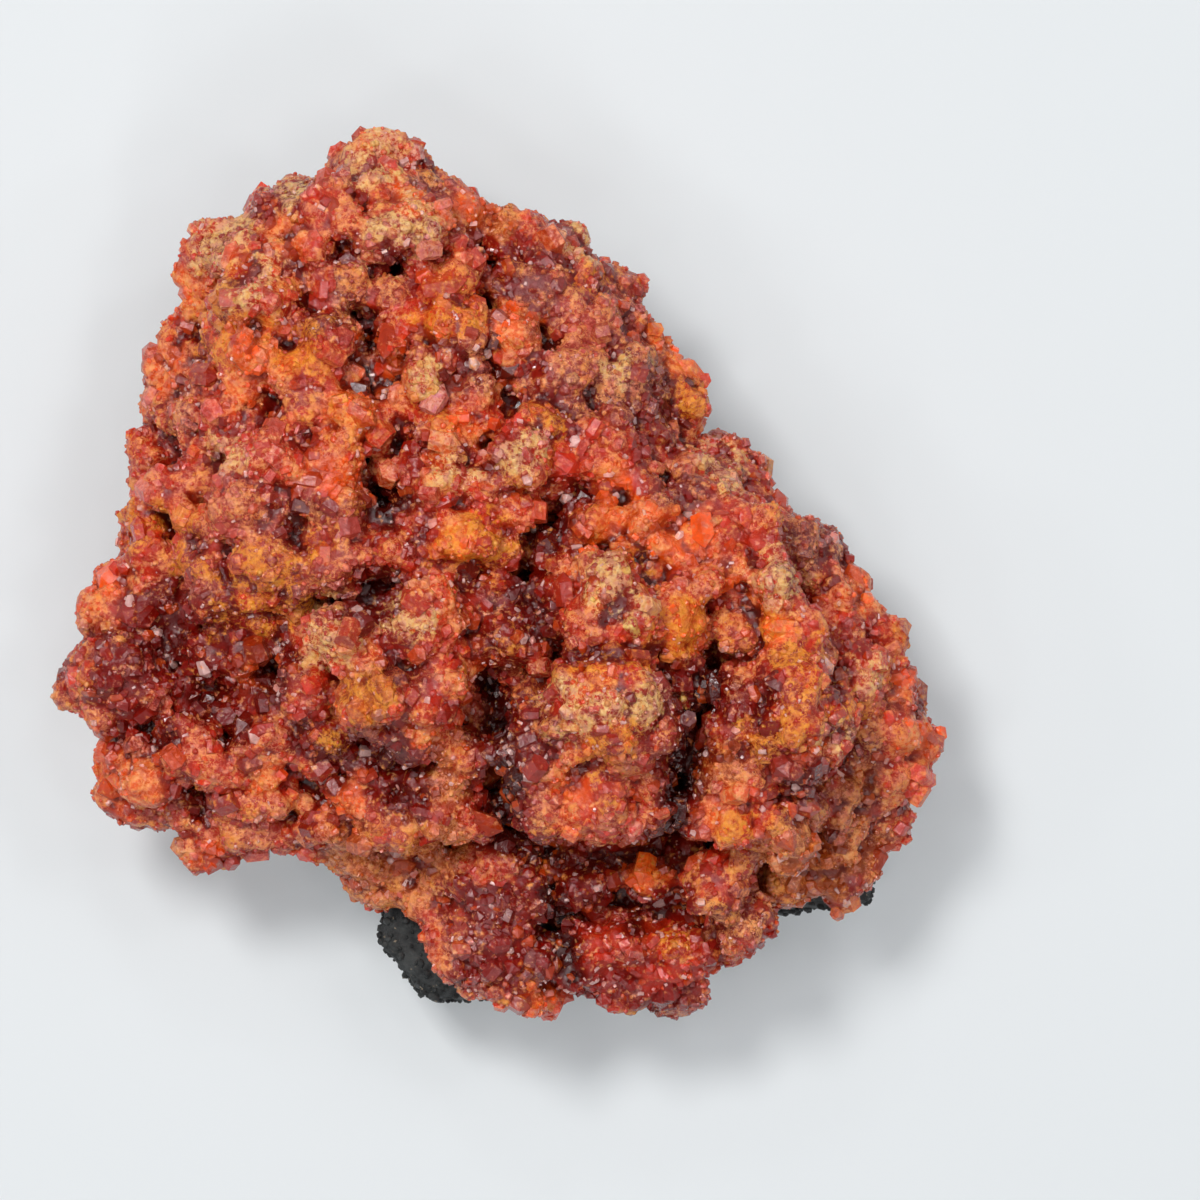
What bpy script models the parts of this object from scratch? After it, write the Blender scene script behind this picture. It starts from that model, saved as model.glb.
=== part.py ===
"""Zincite on matrix: a thick crust of grown-together zincite crystals on a slab of dark, grainy rock.

Metres, +Z up. The specimen lies on the sawn underside of its rock with the crystals up, as it would in a
drawer. The origin is on that underside. Seen from above, +Y runs towards the crust's peak and +X towards
its long right-hand flank. Tables of places are in millimetres, and MM turns them into metres.
"""

import math
import random

import bmesh
import bpy
from mathutils import Euler, Matrix, Vector, noise

MM = 0.001

# The rock
ROCK_HEIGHT = 10.5
ROCK_VOXEL = 0.8 * MM
ROCK_KEEP = 0.085
ROCK_GRAINS = [(4.0, 1.6), (1.6, 0.9)]
SAW_REACH = 60.0

# The crust
CRUST_GAP = 0.35 * MM
CRUST_VOXEL = 0.45 * MM
CRUST_KEEP = 0.039
CRUST_GRAIN = (2.2, 0.8)
LUMP_DEPTH = 1.2
LUMP_LEAST_DEPTH = 2.6
LUMP_ROUGHNESS = 0.3
LUMP_GRAIN = 2.0
KNOBS_PER_AREA = 0.24
KNOB_SIZES = (1.0, 1.8)
KNOB_SINK = 0.35
KNOB_SEED = 7

# The crystals that stand out of the crust: shares are of a crystal's length, from its middle
CRYSTAL_SIDES = 6
CRYSTAL_SHOULDER = 0.14
CRYSTAL_TIP = 0.36
CRYSTAL_SLENDER = 2.2
CRYSTALS_PER_AREA = 0.075
CRYSTAL_WIDTHS = (1.1, 1.9)
CRYSTAL_SEED = 31

ZINCITE_RED = (0.50, 0.075, 0.022, 1.0)
ROCK_BLACK = (0.030, 0.031, 0.032, 1.0)

# Levels of the rock's wall: height, and the share of the outline's width there
ROCK_LEVELS = [(-2.0, 0.84), (1.0, 0.88), (3.5, 0.94), (6.0, 0.985), (8.5, 1.0), (10.0, 0.96), (ROCK_HEIGHT, 0.86)]

# The rock seen from above, anticlockwise from its lower left corner: (x, y)
ROCK_OUTLINE = [
    (-9.7, -24.0), (-8.7, -25.4), (-8.5, -27.2), (-7.7, -28.8), (-7.4, -30.5), (-5.2, -31.0), (-2.5, -30.2),
    (3.5, -30.4), (6.5, -30.6), (10.0, -29.6), (13.6, -28.6), (14.8, -26.4), (19.0, -24.4),
    (22.0, -25.0), (25.5, -24.2), (27.5, -20.0), (28.0, -13.0), (26.5, -6.0), (23.0, 0.0),
    (17.5, 5.5), (12.0, 9.5), (10.5, 14.5), (8.0, 19.0), (3.0, 22.5), (-4.0, 25.0), (-10.0, 27.5),
    (-15.5, 25.0), (-20.0, 20.5), (-21.5, 13.0), (-22.5, 5.0), (-24.5, -2.0), (-25.0, -9.0),
    (-21.0, -15.0), (-14.0, -19.0),
]

# Levels of the undercoat: height, and the share of its outline's width there
BED_LEVELS = [(6.0, 0.99), (8.5, 1.01), (11.4, 1.0), (12.6, 0.96)]

# The fine undercoat of zincite on the rock, seen from above: (x, y)
BED_OUTLINE = [
    (-13.4, -19.6), (-11.5, -22.6), (-9.2, -24.4), (-7.2, -23.8), (-5.2, -24.8), (-3.5, -27.5),
    (0.5, -28.5), (2.4, -25.5), (3.0, -23.6), (8.0, -23.4), (12.6, -23.2), (14.5, -27.0),
    (17.6, -24.5), (20.5, -23.9), (24.8, -23.3), (27.3, -19.5), (28.2, -13.0), (26.5, -6.0),
    (22.5, 0.5), (17.5, 6.0), (12.0, 10.5), (10.0, 15.5), (7.0, 20.0), (2.0, 23.0), (-5.0, 26.0),
    (-11.0, 27.5), (-16.5, 25.0), (-20.5, 20.0), (-22.0, 12.5), (-23.5, 5.0), (-25.5, -2.0),
    (-25.5, -9.0), (-20.5, -15.5), (-16.0, -18.0),
]

# Broad swellings that carry the lumps: (x, y, height of the top, radius)
SWELLINGS = [
    (-16.0, 20.5, 18.5, 6.2), (-8.5, 24.0, 18.0, 5.4), (-1.0, 20.0, 18.0, 6.0), (5.5, 15.5, 17.5, 6.0),
    (-18.0, 12.0, 19.0, 6.8), (-9.5, 13.5, 20.0, 6.8), (0.5, 11.5, 20.0, 6.2), (7.0, 9.0, 19.0, 5.4),
    (-21.0, 2.5, 17.5, 6.2), (-12.5, 3.5, 22.0, 6.6), (-2.5, 3.0, 21.5, 6.2), (6.0, 4.0, 20.0, 5.6),
    (13.5, 3.5, 19.0, 6.2), (19.5, -1.0, 18.0, 5.6), (7.5, -3.5, 24.0, 5.4), (7.0, -11.0, 25.0, 5.8),
    (19.5, -8.5, 22.0, 5.4), (17.0, -15.5, 18.5, 4.6), (26.0, -9.5, 14.5, 4.4), (-6.5, -6.5, 23.0, 6.0),
    (-15.5, -6.5, 17.0, 6.4), (-23.5, -6.5, 15.5, 6.2), (-20.5, -13.5, 14.5, 5.2), (-9.5, -14.5, 18.0, 5.6),
]

# Lumps seen from above: (x, y, height of the top, half length, half width, turn of the length in degrees)
LUMPS_PEAK = [
    (-9.6, 29.0, 19.0, 2.3, 1.9, 60), (-7.2, 29.8, 17.5, 1.2, 1.0, 0), (-11.5, 29.0, 17.0, 1.3, 1.1, 40),
    (-5.8, 27.5, 18.0, 2.2, 1.5, -40), (-15.6, 26.4, 19.0, 1.9, 1.7, 0), (-17.5, 25.1, 19.0, 1.5, 1.3, 60),
    (-20.0, 23.4, 19.0, 2.5, 1.8, 35), (-21.6, 21.6, 17.5, 1.8, 1.4, 70), (-11.9, 26.1, 21.5, 2.1, 1.2, -60),
    (-7.3, 24.6, 24.0, 3.3, 2.0, 15), (-8.4, 26.9, 21.0, 2.4, 1.6, 0), (-3.8, 25.3, 19.5, 2.3, 1.6, -30),
    (-14.4, 25.4, 21.0, 2.0, 1.5, 0),
]
LUMPS_UPPER_RIGHT = [
    (0.1, 23.6, 18.5, 2.8, 2.2, -15), (4.2, 22.1, 18.0, 3.0, 1.9, -30), (7.4, 18.8, 17.0, 3.0, 2.0, -60),
    (9.0, 16.4, 16.5, 2.1, 1.6, -75), (10.9, 13.0, 16.5, 2.8, 2.2, 75), (12.0, 10.9, 15.5, 1.7, 1.4, 20),
    (5.0, 17.8, 20.0, 3.2, 2.6, -40), (8.2, 13.4, 20.5, 3.2, 2.5, 60), (2.2, 20.4, 20.0, 2.8, 2.0, 0),
    (-3.9, 21.2, 22.0, 2.5, 1.6, 0), (5.7, 11.6, 20.0, 2.2, 1.8, 0),
]
LUMPS_UPPER_LEFT = [
    (-17.4, 22.3, 22.0, 2.4, 1.5, 10), (-13.4, 23.4, 22.5, 1.5, 1.2, 0), (-21.8, 18.9, 16.5, 1.6, 1.5, 0),
    (-17.8, 19.3, 23.5, 3.1, 1.7, 0), (-19.6, 16.9, 21.5, 2.0, 1.5, 0), (-12.3, 20.8, 22.5, 2.4, 1.9, 0),
    (-22.4, 16.1, 16.5, 1.8, 1.3, 30), (-23.2, 14.9, 15.5, 1.8, 1.2, 0), (-18.2, 15.4, 23.5, 2.3, 1.8, -20),
    (-12.2, 16.4, 24.0, 2.5, 1.4, 45), (-14.4, 14.0, 24.0, 2.0, 1.5, 20), (-23.9, 12.0, 16.0, 1.8, 1.5, 80),
    (-21.8, 11.4, 20.0, 2.3, 1.6, 80), (-25.3, 8.6, 15.5, 2.4, 1.3, 80), (-19.0, 12.4, 22.5, 2.5, 1.5, 20),
    (-16.6, 8.9, 25.0, 2.5, 1.9, 70), (-14.0, 11.6, 24.5, 2.2, 1.4, 25), (-10.6, 11.4, 24.0, 2.4, 1.5, -15),
    (-12.0, 8.6, 25.0, 2.0, 1.4, 45), (-14.0, 6.9, 24.5, 1.1, 0.9, -20), (-8.3, 7.8, 22.5, 1.1, 1.0, 0),
    (-7.6, 17.0, 23.0, 2.1, 1.4, 75), (-8.4, 20.0, 22.0, 1.8, 1.4, 0),
]
LUMPS_MIDDLE = [
    (-3.6, 17.6, 24.0, 2.3, 1.6, -30), (0.8, 16.6, 23.0, 2.0, 1.5, -30), (3.8, 14.4, 22.5, 2.4, 1.6, 10),
    (-5.5, 13.4, 24.5, 2.0, 1.4, 80), (-2.2, 12.1, 24.0, 1.7, 1.5, 0), (3.2, 10.6, 24.0, 1.7, 1.3, 60),
    (0.9, 8.3, 26.0, 2.2, 1.6, 80), (-4.2, 9.6, 24.5, 2.4, 1.5, 0), (-4.6, 6.6, 26.0, 2.6, 1.5, 5),
    (-0.9, 6.6, 25.5, 1.9, 1.3, 10), (7.0, 8.6, 23.5, 2.6, 2.1, -30), (-7.2, 2.5, 25.0, 2.3, 1.2, 75),
    (-3.4, 2.5, 26.0, 2.3, 1.9, 60), (0.3, 4.7, 24.5, 1.8, 1.4, 0), (-0.3, 1.2, 24.0, 2.0, 1.5, 60),
    (6.8, 3.7, 24.0, 1.8, 1.3, 30), (4.3, 1.1, 23.5, 2.0, 1.4, 10), (9.7, 3.4, 24.5, 2.4, 1.6, 70),
    (3.2, 5.2, 20.5, 1.6, 1.2, 0), (12.6, 1.9, 24.0, 2.0, 1.7, 0),
]
LUMPS_LEFT = [
    (-22.8, 6.0, 20.5, 3.0, 1.8, 10), (-25.6, 3.2, 16.5, 2.0, 1.6, 60), (-24.6, 0.7, 19.0, 2.6, 2.0, 0),
    (-18.2, 5.1, 25.0, 2.7, 2.1, 45), (-16.4, 1.4, 25.0, 3.0, 2.3, 0), (-12.2, 4.9, 25.5, 2.6, 2.1, 0),
    (-12.3, 1.1, 25.5, 2.6, 2.0, -20), (-21.0, 1.8, 22.0, 2.4, 1.9, 30), (-28.3, -0.7, 15.5, 1.5, 1.2, 60),
    (-28.4, -3.3, 16.0, 1.7, 1.4, 0), (-20.0, -1.6, 22.5, 2.5, 1.1, 15), (-24.6, -3.0, 18.0, 2.4, 1.6, 0),
    (-15.6, -1.6, 23.0, 2.2, 1.5, 0), (-27.7, -7.6, 19.5, 3.6, 3.4, 70), (-21.8, -5.6, 18.5, 1.4, 1.2, 0),
    (-20.0, -6.3, 19.0, 1.0, 0.9, 0), (-22.5, -8.4, 17.5, 1.8, 1.3, 60), (-18.2, -4.9, 20.0, 1.9, 1.3, 30),
    (-17.3, -8.8, 19.5, 2.0, 1.3, -20),
]
LUMPS_LEFT_MASS = [
    (-11.2, -4.7, 28.0, 2.9, 1.8, -10), (-5.6, -3.2, 28.0, 2.6, 2.3, 60), (-8.9, -8.4, 28.0, 2.8, 2.4, 40),
    (-5.0, -8.0, 27.0, 2.6, 2.2, 80), (-14.0, -7.4, 23.5, 2.2, 1.8, 0), (-6.2, -11.2, 26.0, 2.2, 1.6, 40),
    (-3.4, -13.0, 23.5, 1.9, 1.5, 0), (-4.2, -16.3, 22.5, 2.4, 1.9, 10), (-1.8, -17.6, 21.5, 1.5, 1.0, 0),
    (-12.6, -11.4, 22.5, 2.4, 1.0, 15), (-16.8, -12.3, 21.0, 2.0, 1.6, 50), (-13.6, -13.6, 20.0, 1.6, 1.2, 0),
    (-10.8, -15.2, 20.0, 1.7, 1.3, 0), (-8.0, -17.4, 20.5, 2.5, 1.9, 0), (-12.4, -18.0, 17.5, 2.4, 1.8, 0),
    (-8.2, -14.6, 20.5, 1.7, 1.3, 0),
]
LUMPS_LOWER_LEFT = [
    (-22.4, -12.6, 20.0, 2.5, 2.0, 70), (-19.6, -10.2, 19.0, 1.7, 1.2, 0), (-25.6, -14.4, 18.0, 2.3, 1.9, 0),
    (-27.0, -12.8, 15.5, 1.6, 1.1, 0), (-27.6, -15.4, 14.5, 1.2, 1.0, 0), (-26.0, -16.6, 14.5, 1.9, 1.2, -20),
    (-23.2, -17.2, 15.5, 1.8, 1.4, -40), (-21.2, -19.1, 14.5, 2.1, 1.6, -20), (-19.6, -16.2, 18.0, 2.0, 1.5, 0),
    (-18.6, -18.2, 16.5, 2.0, 1.5, 10), (-16.0, -17.9, 16.0, 2.1, 1.7, 0), (-20.2, -13.8, 19.5, 2.0, 1.6, 0),
    (-14.6, -18.6, 15.0, 1.8, 1.3, 0),
]
LUMPS_CENTRE_TONGUE = [
    (7.6, -1.5, 28.0, 2.7, 2.1, 80), (5.9, -3.8, 27.5, 1.8, 1.4, 20), (8.6, -3.9, 28.5, 1.9, 1.5, 0),
    (12.2, -3.1, 26.5, 1.9, 1.5, -70), (12.4, -5.2, 25.0, 1.6, 1.1, 20), (7.4, -8.6, 31.0, 4.0, 2.8, 0),
    (8.8, -11.2, 30.0, 3.6, 2.2, 25), (5.2, -10.4, 29.5, 2.2, 1.9, 0), (3.0, -10.6, 26.5, 2.6, 2.1, 70),
    (2.9, -13.5, 27.0, 2.8, 2.0, -20), (3.0, -16.4, 26.0, 2.3, 2.1, -30), (6.2, -15.8, 27.0, 2.5, 1.9, 0),
    (6.6, -17.2, 24.5, 1.9, 1.2, 0), (8.9, -17.0, 24.5, 0.9, 1.3, 0), (10.7, -16.3, 24.0, 1.1, 1.9, 0),
    (9.2, -14.4, 26.0, 2.0, 1.4, 0), (13.0, -7.3, 24.0, 1.4, 1.9, 20), (3.8, -0.9, 24.5, 1.5, 2.2, -30),
    (1.2, -3.9, 25.0, 2.2, 3.0, -20), (-1.6, -1.6, 24.5, 1.9, 1.5, 0),
]
LUMPS_RIGHT_TONGUE = [
    (16.1, -2.6, 22.5, 1.9, 1.3, 20), (19.2, -1.4, 24.5, 2.6, 1.7, -50), (21.3, -4.6, 24.0, 2.4, 1.8, -70),
    (17.6, -4.4, 22.5, 1.9, 1.2, 0), (20.6, -7.3, 26.0, 2.6, 1.7, 30), (17.2, -9.0, 25.0, 2.2, 1.9, 0),
    (16.2, -12.9, 24.5, 2.1, 2.3, 0), (20.6, -10.4, 27.0, 3.3, 1.5, 28), (21.2, -12.9, 25.5, 3.0, 1.1, 32),
    (23.9, -10.9, 24.0, 1.1, 1.9, 10), (14.3, -17.3, 23.5, 1.8, 1.8, 0), (16.8, -17.0, 24.0, 2.0, 2.1, 0),
    (18.7, -18.6, 22.5, 1.6, 1.1, 70), (20.3, -18.9, 22.0, 1.9, 1.0, -55), (21.3, -16.6, 21.5, 1.4, 0.8, -10),
    (17.6, -14.6, 25.0, 1.8, 1.1, 0), (23.6, -16.3, 17.5, 1.7, 2.1, 0), (16.6, -20.3, 20.0, 1.7, 1.2, 0),
]
LUMPS_RIGHT_FLANK = [
    (14.2, 4.8, 22.0, 3.1, 2.2, 0), (15.7, 6.9, 18.5, 2.2, 1.1, -25), (18.0, 5.6, 17.5, 1.6, 1.1, -40),
    (16.9, 2.6, 23.0, 2.7, 2.3, 0), (20.3, 2.4, 18.5, 2.4, 1.6, -50), (21.8, 0.3, 18.5, 1.8, 1.4, 0),
    (13.2, 7.5, 19.0, 2.0, 1.3, -20), (24.2, -1.2, 15.5, 1.5, 1.1, -30), (24.6, -3.4, 18.0, 2.3, 1.5, 0),
    (27.2, -4.6, 15.5, 1.8, 1.4, -60), (25.4, -7.1, 19.0, 2.2, 1.6, 10), (28.0, -8.4, 16.0, 1.6, 1.4, -60),
    (29.0, -11.0, 14.5, 1.9, 1.3, -50), (27.0, -11.5, 17.5, 2.1, 1.7, 0), (29.0, -13.9, 14.0, 1.6, 1.6, 0),
    (26.6, -15.4, 15.5, 2.0, 1.9, 0), (27.8, -17.6, 13.0, 1.5, 1.9, 0),
]
LUMPS_FOOT = [
    (-0.6, -20.9, 17.5, 2.0, 1.8, 0), (-2.4, -22.6, 16.5, 1.6, 1.5, 0), (0.9, -22.9, 17.0, 1.9, 1.7, 0),
    (-1.0, -25.4, 17.0, 2.4, 2.0, 0), (-3.6, -26.4, 15.5, 1.9, 1.6, 60), (0.6, -28.6, 16.0, 2.6, 1.8, 0),
    (-2.4, -28.8, 14.5, 2.0, 1.4, -20), (2.6, -27.9, 15.0, 1.3, 1.5, 20), (2.7, -30.3, 12.5, 1.2, 0.8, 0),
    (5.8, -21.9, 17.0, 2.1, 1.9, 30), (7.3, -24.6, 14.0, 1.7, 1.1, 20), (10.3, -21.4, 17.0, 1.5, 1.3, 90),
    (6.0, -27.3, 16.0, 1.9, 1.6, 40), (8.6, -26.9, 16.0, 2.0, 1.6, 0), (7.4, -29.8, 14.5, 2.4, 1.3, -10),
    (12.6, -26.9, 16.0, 2.2, 1.5, 15), (11.5, -29.4, 14.0, 2.2, 1.5, 0), (12.2, -31.0, 12.0, 1.7, 0.9, -5),
    (15.3, -22.4, 20.0, 2.2, 1.7, -40), (17.0, -24.9, 17.0, 1.6, 1.8, 20), (16.6, -26.3, 15.5, 1.6, 0.9, 0),
    (12.6, -21.9, 15.0, 1.5, 1.4, 0), (-7.2, -21.3, 14.0, 2.6, 1.7, 20), (-10.2, -20.9, 14.0, 2.4, 1.6, -40),
]
LUMPS = (
    LUMPS_PEAK + LUMPS_UPPER_RIGHT + LUMPS_UPPER_LEFT + LUMPS_MIDDLE + LUMPS_LEFT + LUMPS_LEFT_MASS
    + LUMPS_LOWER_LEFT + LUMPS_CENTRE_TONGUE + LUMPS_RIGHT_TONGUE + LUMPS_RIGHT_FLANK + LUMPS_FOOT
)

# Lower lumps in the hollows between the others
LUMPS_HOLLOWS = [
    (-14.6, 17.6, 22.0, 2.0, 1.7, 0), (3.9, 7.4, 23.0, 1.8, 1.4, 0), (-17.8, -3.0, 20.5, 1.6, 1.1, 0),
    (13.6, -0.6, 24.5, 2.1, 1.5, 40), (-0.9, -4.7, 23.0, 1.6, 1.3, 0), (-16.9, -14.5, 18.5, 1.9, 1.4, 0),
    (-26.0, -11.2, 16.0, 1.6, 1.3, 0), (-1.6, -10.4, 20.5, 1.3, 1.8, 0), (0.9, -9.0, 21.5, 1.1, 1.8, 0),
    (-0.7, -14.0, 18.0, 1.2, 1.6, 0), (0.7, -16.4, 18.5, 1.0, 1.4, 0), (2.3, -19.0, 15.8, 1.5, 1.1, 0),
    (4.6, -19.3, 15.5, 1.4, 1.1, 20), (7.2, -19.2, 16.0, 1.6, 1.2, 0), (9.9, -19.0, 16.2, 1.5, 1.2, -20),
    (12.6, -19.6, 15.8, 1.3, 1.2, 0), (24.2, -19.4, 14.6, 1.9, 1.5, 20), (21.8, -21.4, 14.4, 1.9, 1.3, 0),
    (25.3, -21.7, 13.8, 1.7, 1.2, 0), (19.7, -22.4, 14.6, 1.6, 1.2, 0), (10.0, -24.9, 13.6, 1.4, 1.0, 0),
    (-6.3, 10.6, 21.5, 1.7, 1.3, 30), (-9.2, 14.0, 21.5, 1.6, 1.3, 0), (-21.0, 8.6, 20.5, 1.9, 1.4, 0),
    (-20.6, 13.8, 20.0, 1.6, 1.4, 0), (-6.0, 22.4, 21.0, 1.6, 1.2, 0), (-10.3, 23.2, 21.5, 1.7, 1.3, 0),
    (-17.4, 24.0, 20.0, 1.6, 1.3, 0), (-1.0, 14.4, 20.5, 1.5, 1.1, 0), (6.6, 6.2, 22.0, 1.7, 1.3, 0),
    (9.6, 6.4, 21.5, 1.9, 1.5, 0), (10.6, 9.8, 19.5, 1.9, 1.4, -40), (15.8, 0.2, 22.5, 1.6, 1.4, 0),
    (19.0, 0.8, 21.0, 1.9, 1.5, -40), (-9.2, -1.8, 22.0, 1.5, 1.2, 0), (-7.8, -0.2, 22.5, 1.3, 1.1, 0),
    (-2.4, -5.6, 24.0, 1.5, 1.2, 0), (-23.6, -10.0, 17.0, 1.4, 1.2, 0), (-20.2, -8.6, 17.5, 1.5, 1.2, 0),
    (-25.6, -4.9, 17.0, 1.6, 1.2, 0), (-14.4, -4.6, 21.5, 1.6, 1.3, 0), (-15.8, -10.4, 20.0, 1.5, 1.1, 0),
    (-10.4, -12.8, 21.0, 1.4, 1.1, 0), (-5.8, -13.9, 21.0, 1.3, 1.0, 0), (-5.9, -18.9, 17.0, 1.5, 1.1, 0),
    (14.0, -10.8, 19.5, 1.2, 1.8, 0), (12.9, -14.4, 18.0, 1.1, 1.6, 0), (18.9, -12.3, 23.5, 1.4, 1.1, 0),
    (19.6, -14.8, 20.0, 1.6, 1.2, 20), (22.6, -14.2, 17.5, 1.8, 1.1, 20), (25.6, -12.9, 17.0, 1.5, 1.2, 0),
    (23.2, -8.0, 21.5, 1.3, 1.6, 0), (23.6, -5.6, 20.0, 1.4, 1.2, 0), (4.4, -24.0, 12.9, 1.2, 0.9, 0),
    (-4.2, -22.0, 14.5, 1.5, 1.4, 0), (-5.4, -24.2, 14.2, 1.6, 1.1, 0), (-11.6, -20.0, 14.6, 1.5, 1.1, 0),
]
LUMPS += LUMPS_HOLLOWS

# Single crystals that the eye picks out: (x, y, height of the tip, length, width, heading, lean from upright)
CRYSTALS = [
    (-16.8, 8.4, 25.8, 5.0, 2.2, 250, 70), (-14.4, 6.0, 25.2, 3.0, 1.0, 235, 75), (-13.6, 6.6, 25.6, 3.2, 1.3, 350, 82),
    (-11.9, 25.9, 22.6, 4.6, 1.9, 300, 72), (-24.9, 15.0, 15.4, 3.6, 1.8, 175, 80), (-26.3, 8.9, 14.8, 3.4, 2.0, 185, 70),
    (-18.4, 16.0, 24.8, 3.0, 1.8, 120, 50), (-17.6, 19.6, 24.8, 5.0, 1.5, 5, 84), (-3.9, 20.6, 23.4, 3.6, 1.8, 10, 80),
    (-10.2, 11.2, 25.2, 3.8, 1.6, 330, 78), (19.9, -18.4, 23.6, 4.6, 1.8, 300, 72), (20.4, -19.4, 22.2, 3.0, 1.2, 320, 70),
    (21.6, -16.6, 22.6, 3.0, 1.3, 350, 78), (13.4, -30.2, 12.8, 4.6, 2.2, 340, 84), (17.2, -26.4, 16.0, 4.2, 2.3, 290, 66),
    (-21.2, -20.3, 14.0, 4.4, 2.4, 262, 66), (-28.3, -15.3, 14.8, 3.6, 1.9, 200, 70), (-1.1, -17.9, 22.0, 3.4, 1.6, 340, 74),
    (25.3, -1.2, 15.2, 3.0, 1.5, 320, 78), (28.2, -4.4, 15.0, 3.2, 1.7, 330, 74), (30.6, -12.2, 13.6, 3.2, 1.5, 320, 80),
    (9.0, -17.6, 24.8, 2.8, 1.5, 262, 60), (11.1, -17.0, 24.4, 2.8, 1.5, 280, 60), (-6.6, 30.6, 17.2, 3.0, 1.4, 20, 74),
    (2.9, -28.4, 15.4, 3.0, 1.6, 300, 60), (-26.9, -2.8, 17.0, 3.6, 2.0, 340, 74), (-8.3, 16.2, 23.6, 3.0, 1.4, 260, 64),
    (4.2, -30.4, 12.2, 2.6, 1.4, 330, 82), (-10.2, 31.3, 17.6, 2.6, 1.4, 100, 70), (13.6, 12.1, 16.0, 2.6, 1.4, 350, 76),
]


def clear_scene():
    for thing in list(bpy.data.objects):
        bpy.data.objects.remove(thing)


class Shape:
    """Overlapping closed shapes, in millimetres, gathered before they become one object."""

    def __init__(self):
        self.points = []
        self.faces = []

    def add(self, points, faces):
        start = len(self.points)
        self.points += [tuple(point) for point in points]
        self.faces += [[start + corner for corner in face] for face in faces]

    def object_named(self, name):
        mesh = bpy.data.meshes.new(name)
        mesh.from_pydata([(x * MM, y * MM, z * MM) for x, y, z in self.points], [], self.faces)
        made = bpy.data.objects.new(name, mesh)
        bpy.context.scene.collection.objects.link(made)
        return made


def unit_ball(subdivisions):
    bm = bmesh.new()
    bmesh.ops.create_icosphere(bm, subdivisions=subdivisions, radius=1.0)
    points = [vert.co.copy() for vert in bm.verts]
    faces = [[vert.index for vert in face.verts] for face in bm.faces]
    bm.free()
    return points, faces


def as_helper(made):
    made.hide_render = True
    made.display_type = "WIRE"
    return made


def paint(made, colour, roughness):
    material = bpy.data.materials.new(made.name)
    material.use_nodes = True
    shader = material.node_tree.nodes["Principled BSDF"]
    shader.inputs["Base Color"].default_value = colour
    shader.inputs["Roughness"].default_value = roughness
    made.data.materials.append(material)


def add_skin(made, voxel):
    """Welds an object's overlapping shapes into one skin."""
    skin = made.modifiers.new("one_skin", "REMESH")
    skin.mode = "VOXEL"
    skin.voxel_size = voxel


def add_grain(made, size, strength):
    """Roughens an object with soft noise of one size."""
    texture = bpy.data.textures.new(f"grain_{size}", "CLOUDS")
    texture.noise_scale = size * MM
    texture.noise_depth = 0
    grain = made.modifiers.new(texture.name, "DISPLACE")
    grain.texture = texture
    grain.texture_coords = "LOCAL"
    grain.strength = strength * MM


def add_facets(made, keep):
    facets = made.modifiers.new("facets", "DECIMATE")
    facets.ratio = keep
    facets.use_collapse_triangulate = True


def cut(made, other, solver):
    step = made.modifiers.new("cut_" + other.name, "BOOLEAN")
    step.operation = "DIFFERENCE"
    step.object = other
    step.solver = solver


def islands_of(bm):
    """The separate bodies of a mesh, each as its list of vertices."""
    waiting = set(bm.verts)
    found = []
    while waiting:
        body = [waiting.pop()]
        for vert in body:
            for edge in vert.link_edges:
                other = edge.other_vert(vert)
                if other in waiting:
                    waiting.remove(other)
                    body.append(other)
        found.append(body)
    return found


def settle(made):
    """Carries out an object's modifiers, and drops any crumb that a cut left loose."""
    graph = bpy.context.evaluated_depsgraph_get()
    bm = bmesh.new()
    bm.from_mesh(made.evaluated_get(graph).to_mesh())
    made.modifiers.clear()
    bodies = sorted(islands_of(bm), key=len)
    for crumb in bodies[:-1]:
        bmesh.ops.delete(bm, geom=crumb, context="VERTS")
    bm.to_mesh(made.data)
    bm.free()


def slab(outline, levels):
    """A closed slab that follows an outline, wider or narrower at each of its levels."""
    middle = Vector((sum(x for x, _ in outline), sum(y for _, y in outline))) / len(outline)
    count = len(outline)
    points = []
    faces = [list(reversed(range(count)))]
    for height, share in levels:
        for point in outline:
            place = middle + (Vector(point) - middle) * share
            points.append((place.x, place.y, height))
    for low in range(0, len(points) - count, count):
        for i in range(count):
            j = (i + 1) % count
            faces.append([low + i, low + j, low + count + j, low + count + i])
    faces.append(list(range(len(points) - count, len(points))))
    return points, faces


def lump(ball, place, radii, turn, seed):
    """One knobbly, rounded lump."""
    points, faces = ball
    spin = Matrix.Rotation(math.radians(turn), 3, "Z")
    offset = Vector((seed * 3.7, seed * 1.3, seed * 2.1))
    centre = Vector(place)
    swollen = []
    for way in points:
        swell = 1.0 + LUMP_ROUGHNESS * noise.noise(way * LUMP_GRAIN + offset)
        swollen.append(spin @ Vector((way.x * radii[0], way.y * radii[1], way.z * radii[2])) * swell + centre)
    return swollen, faces


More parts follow.
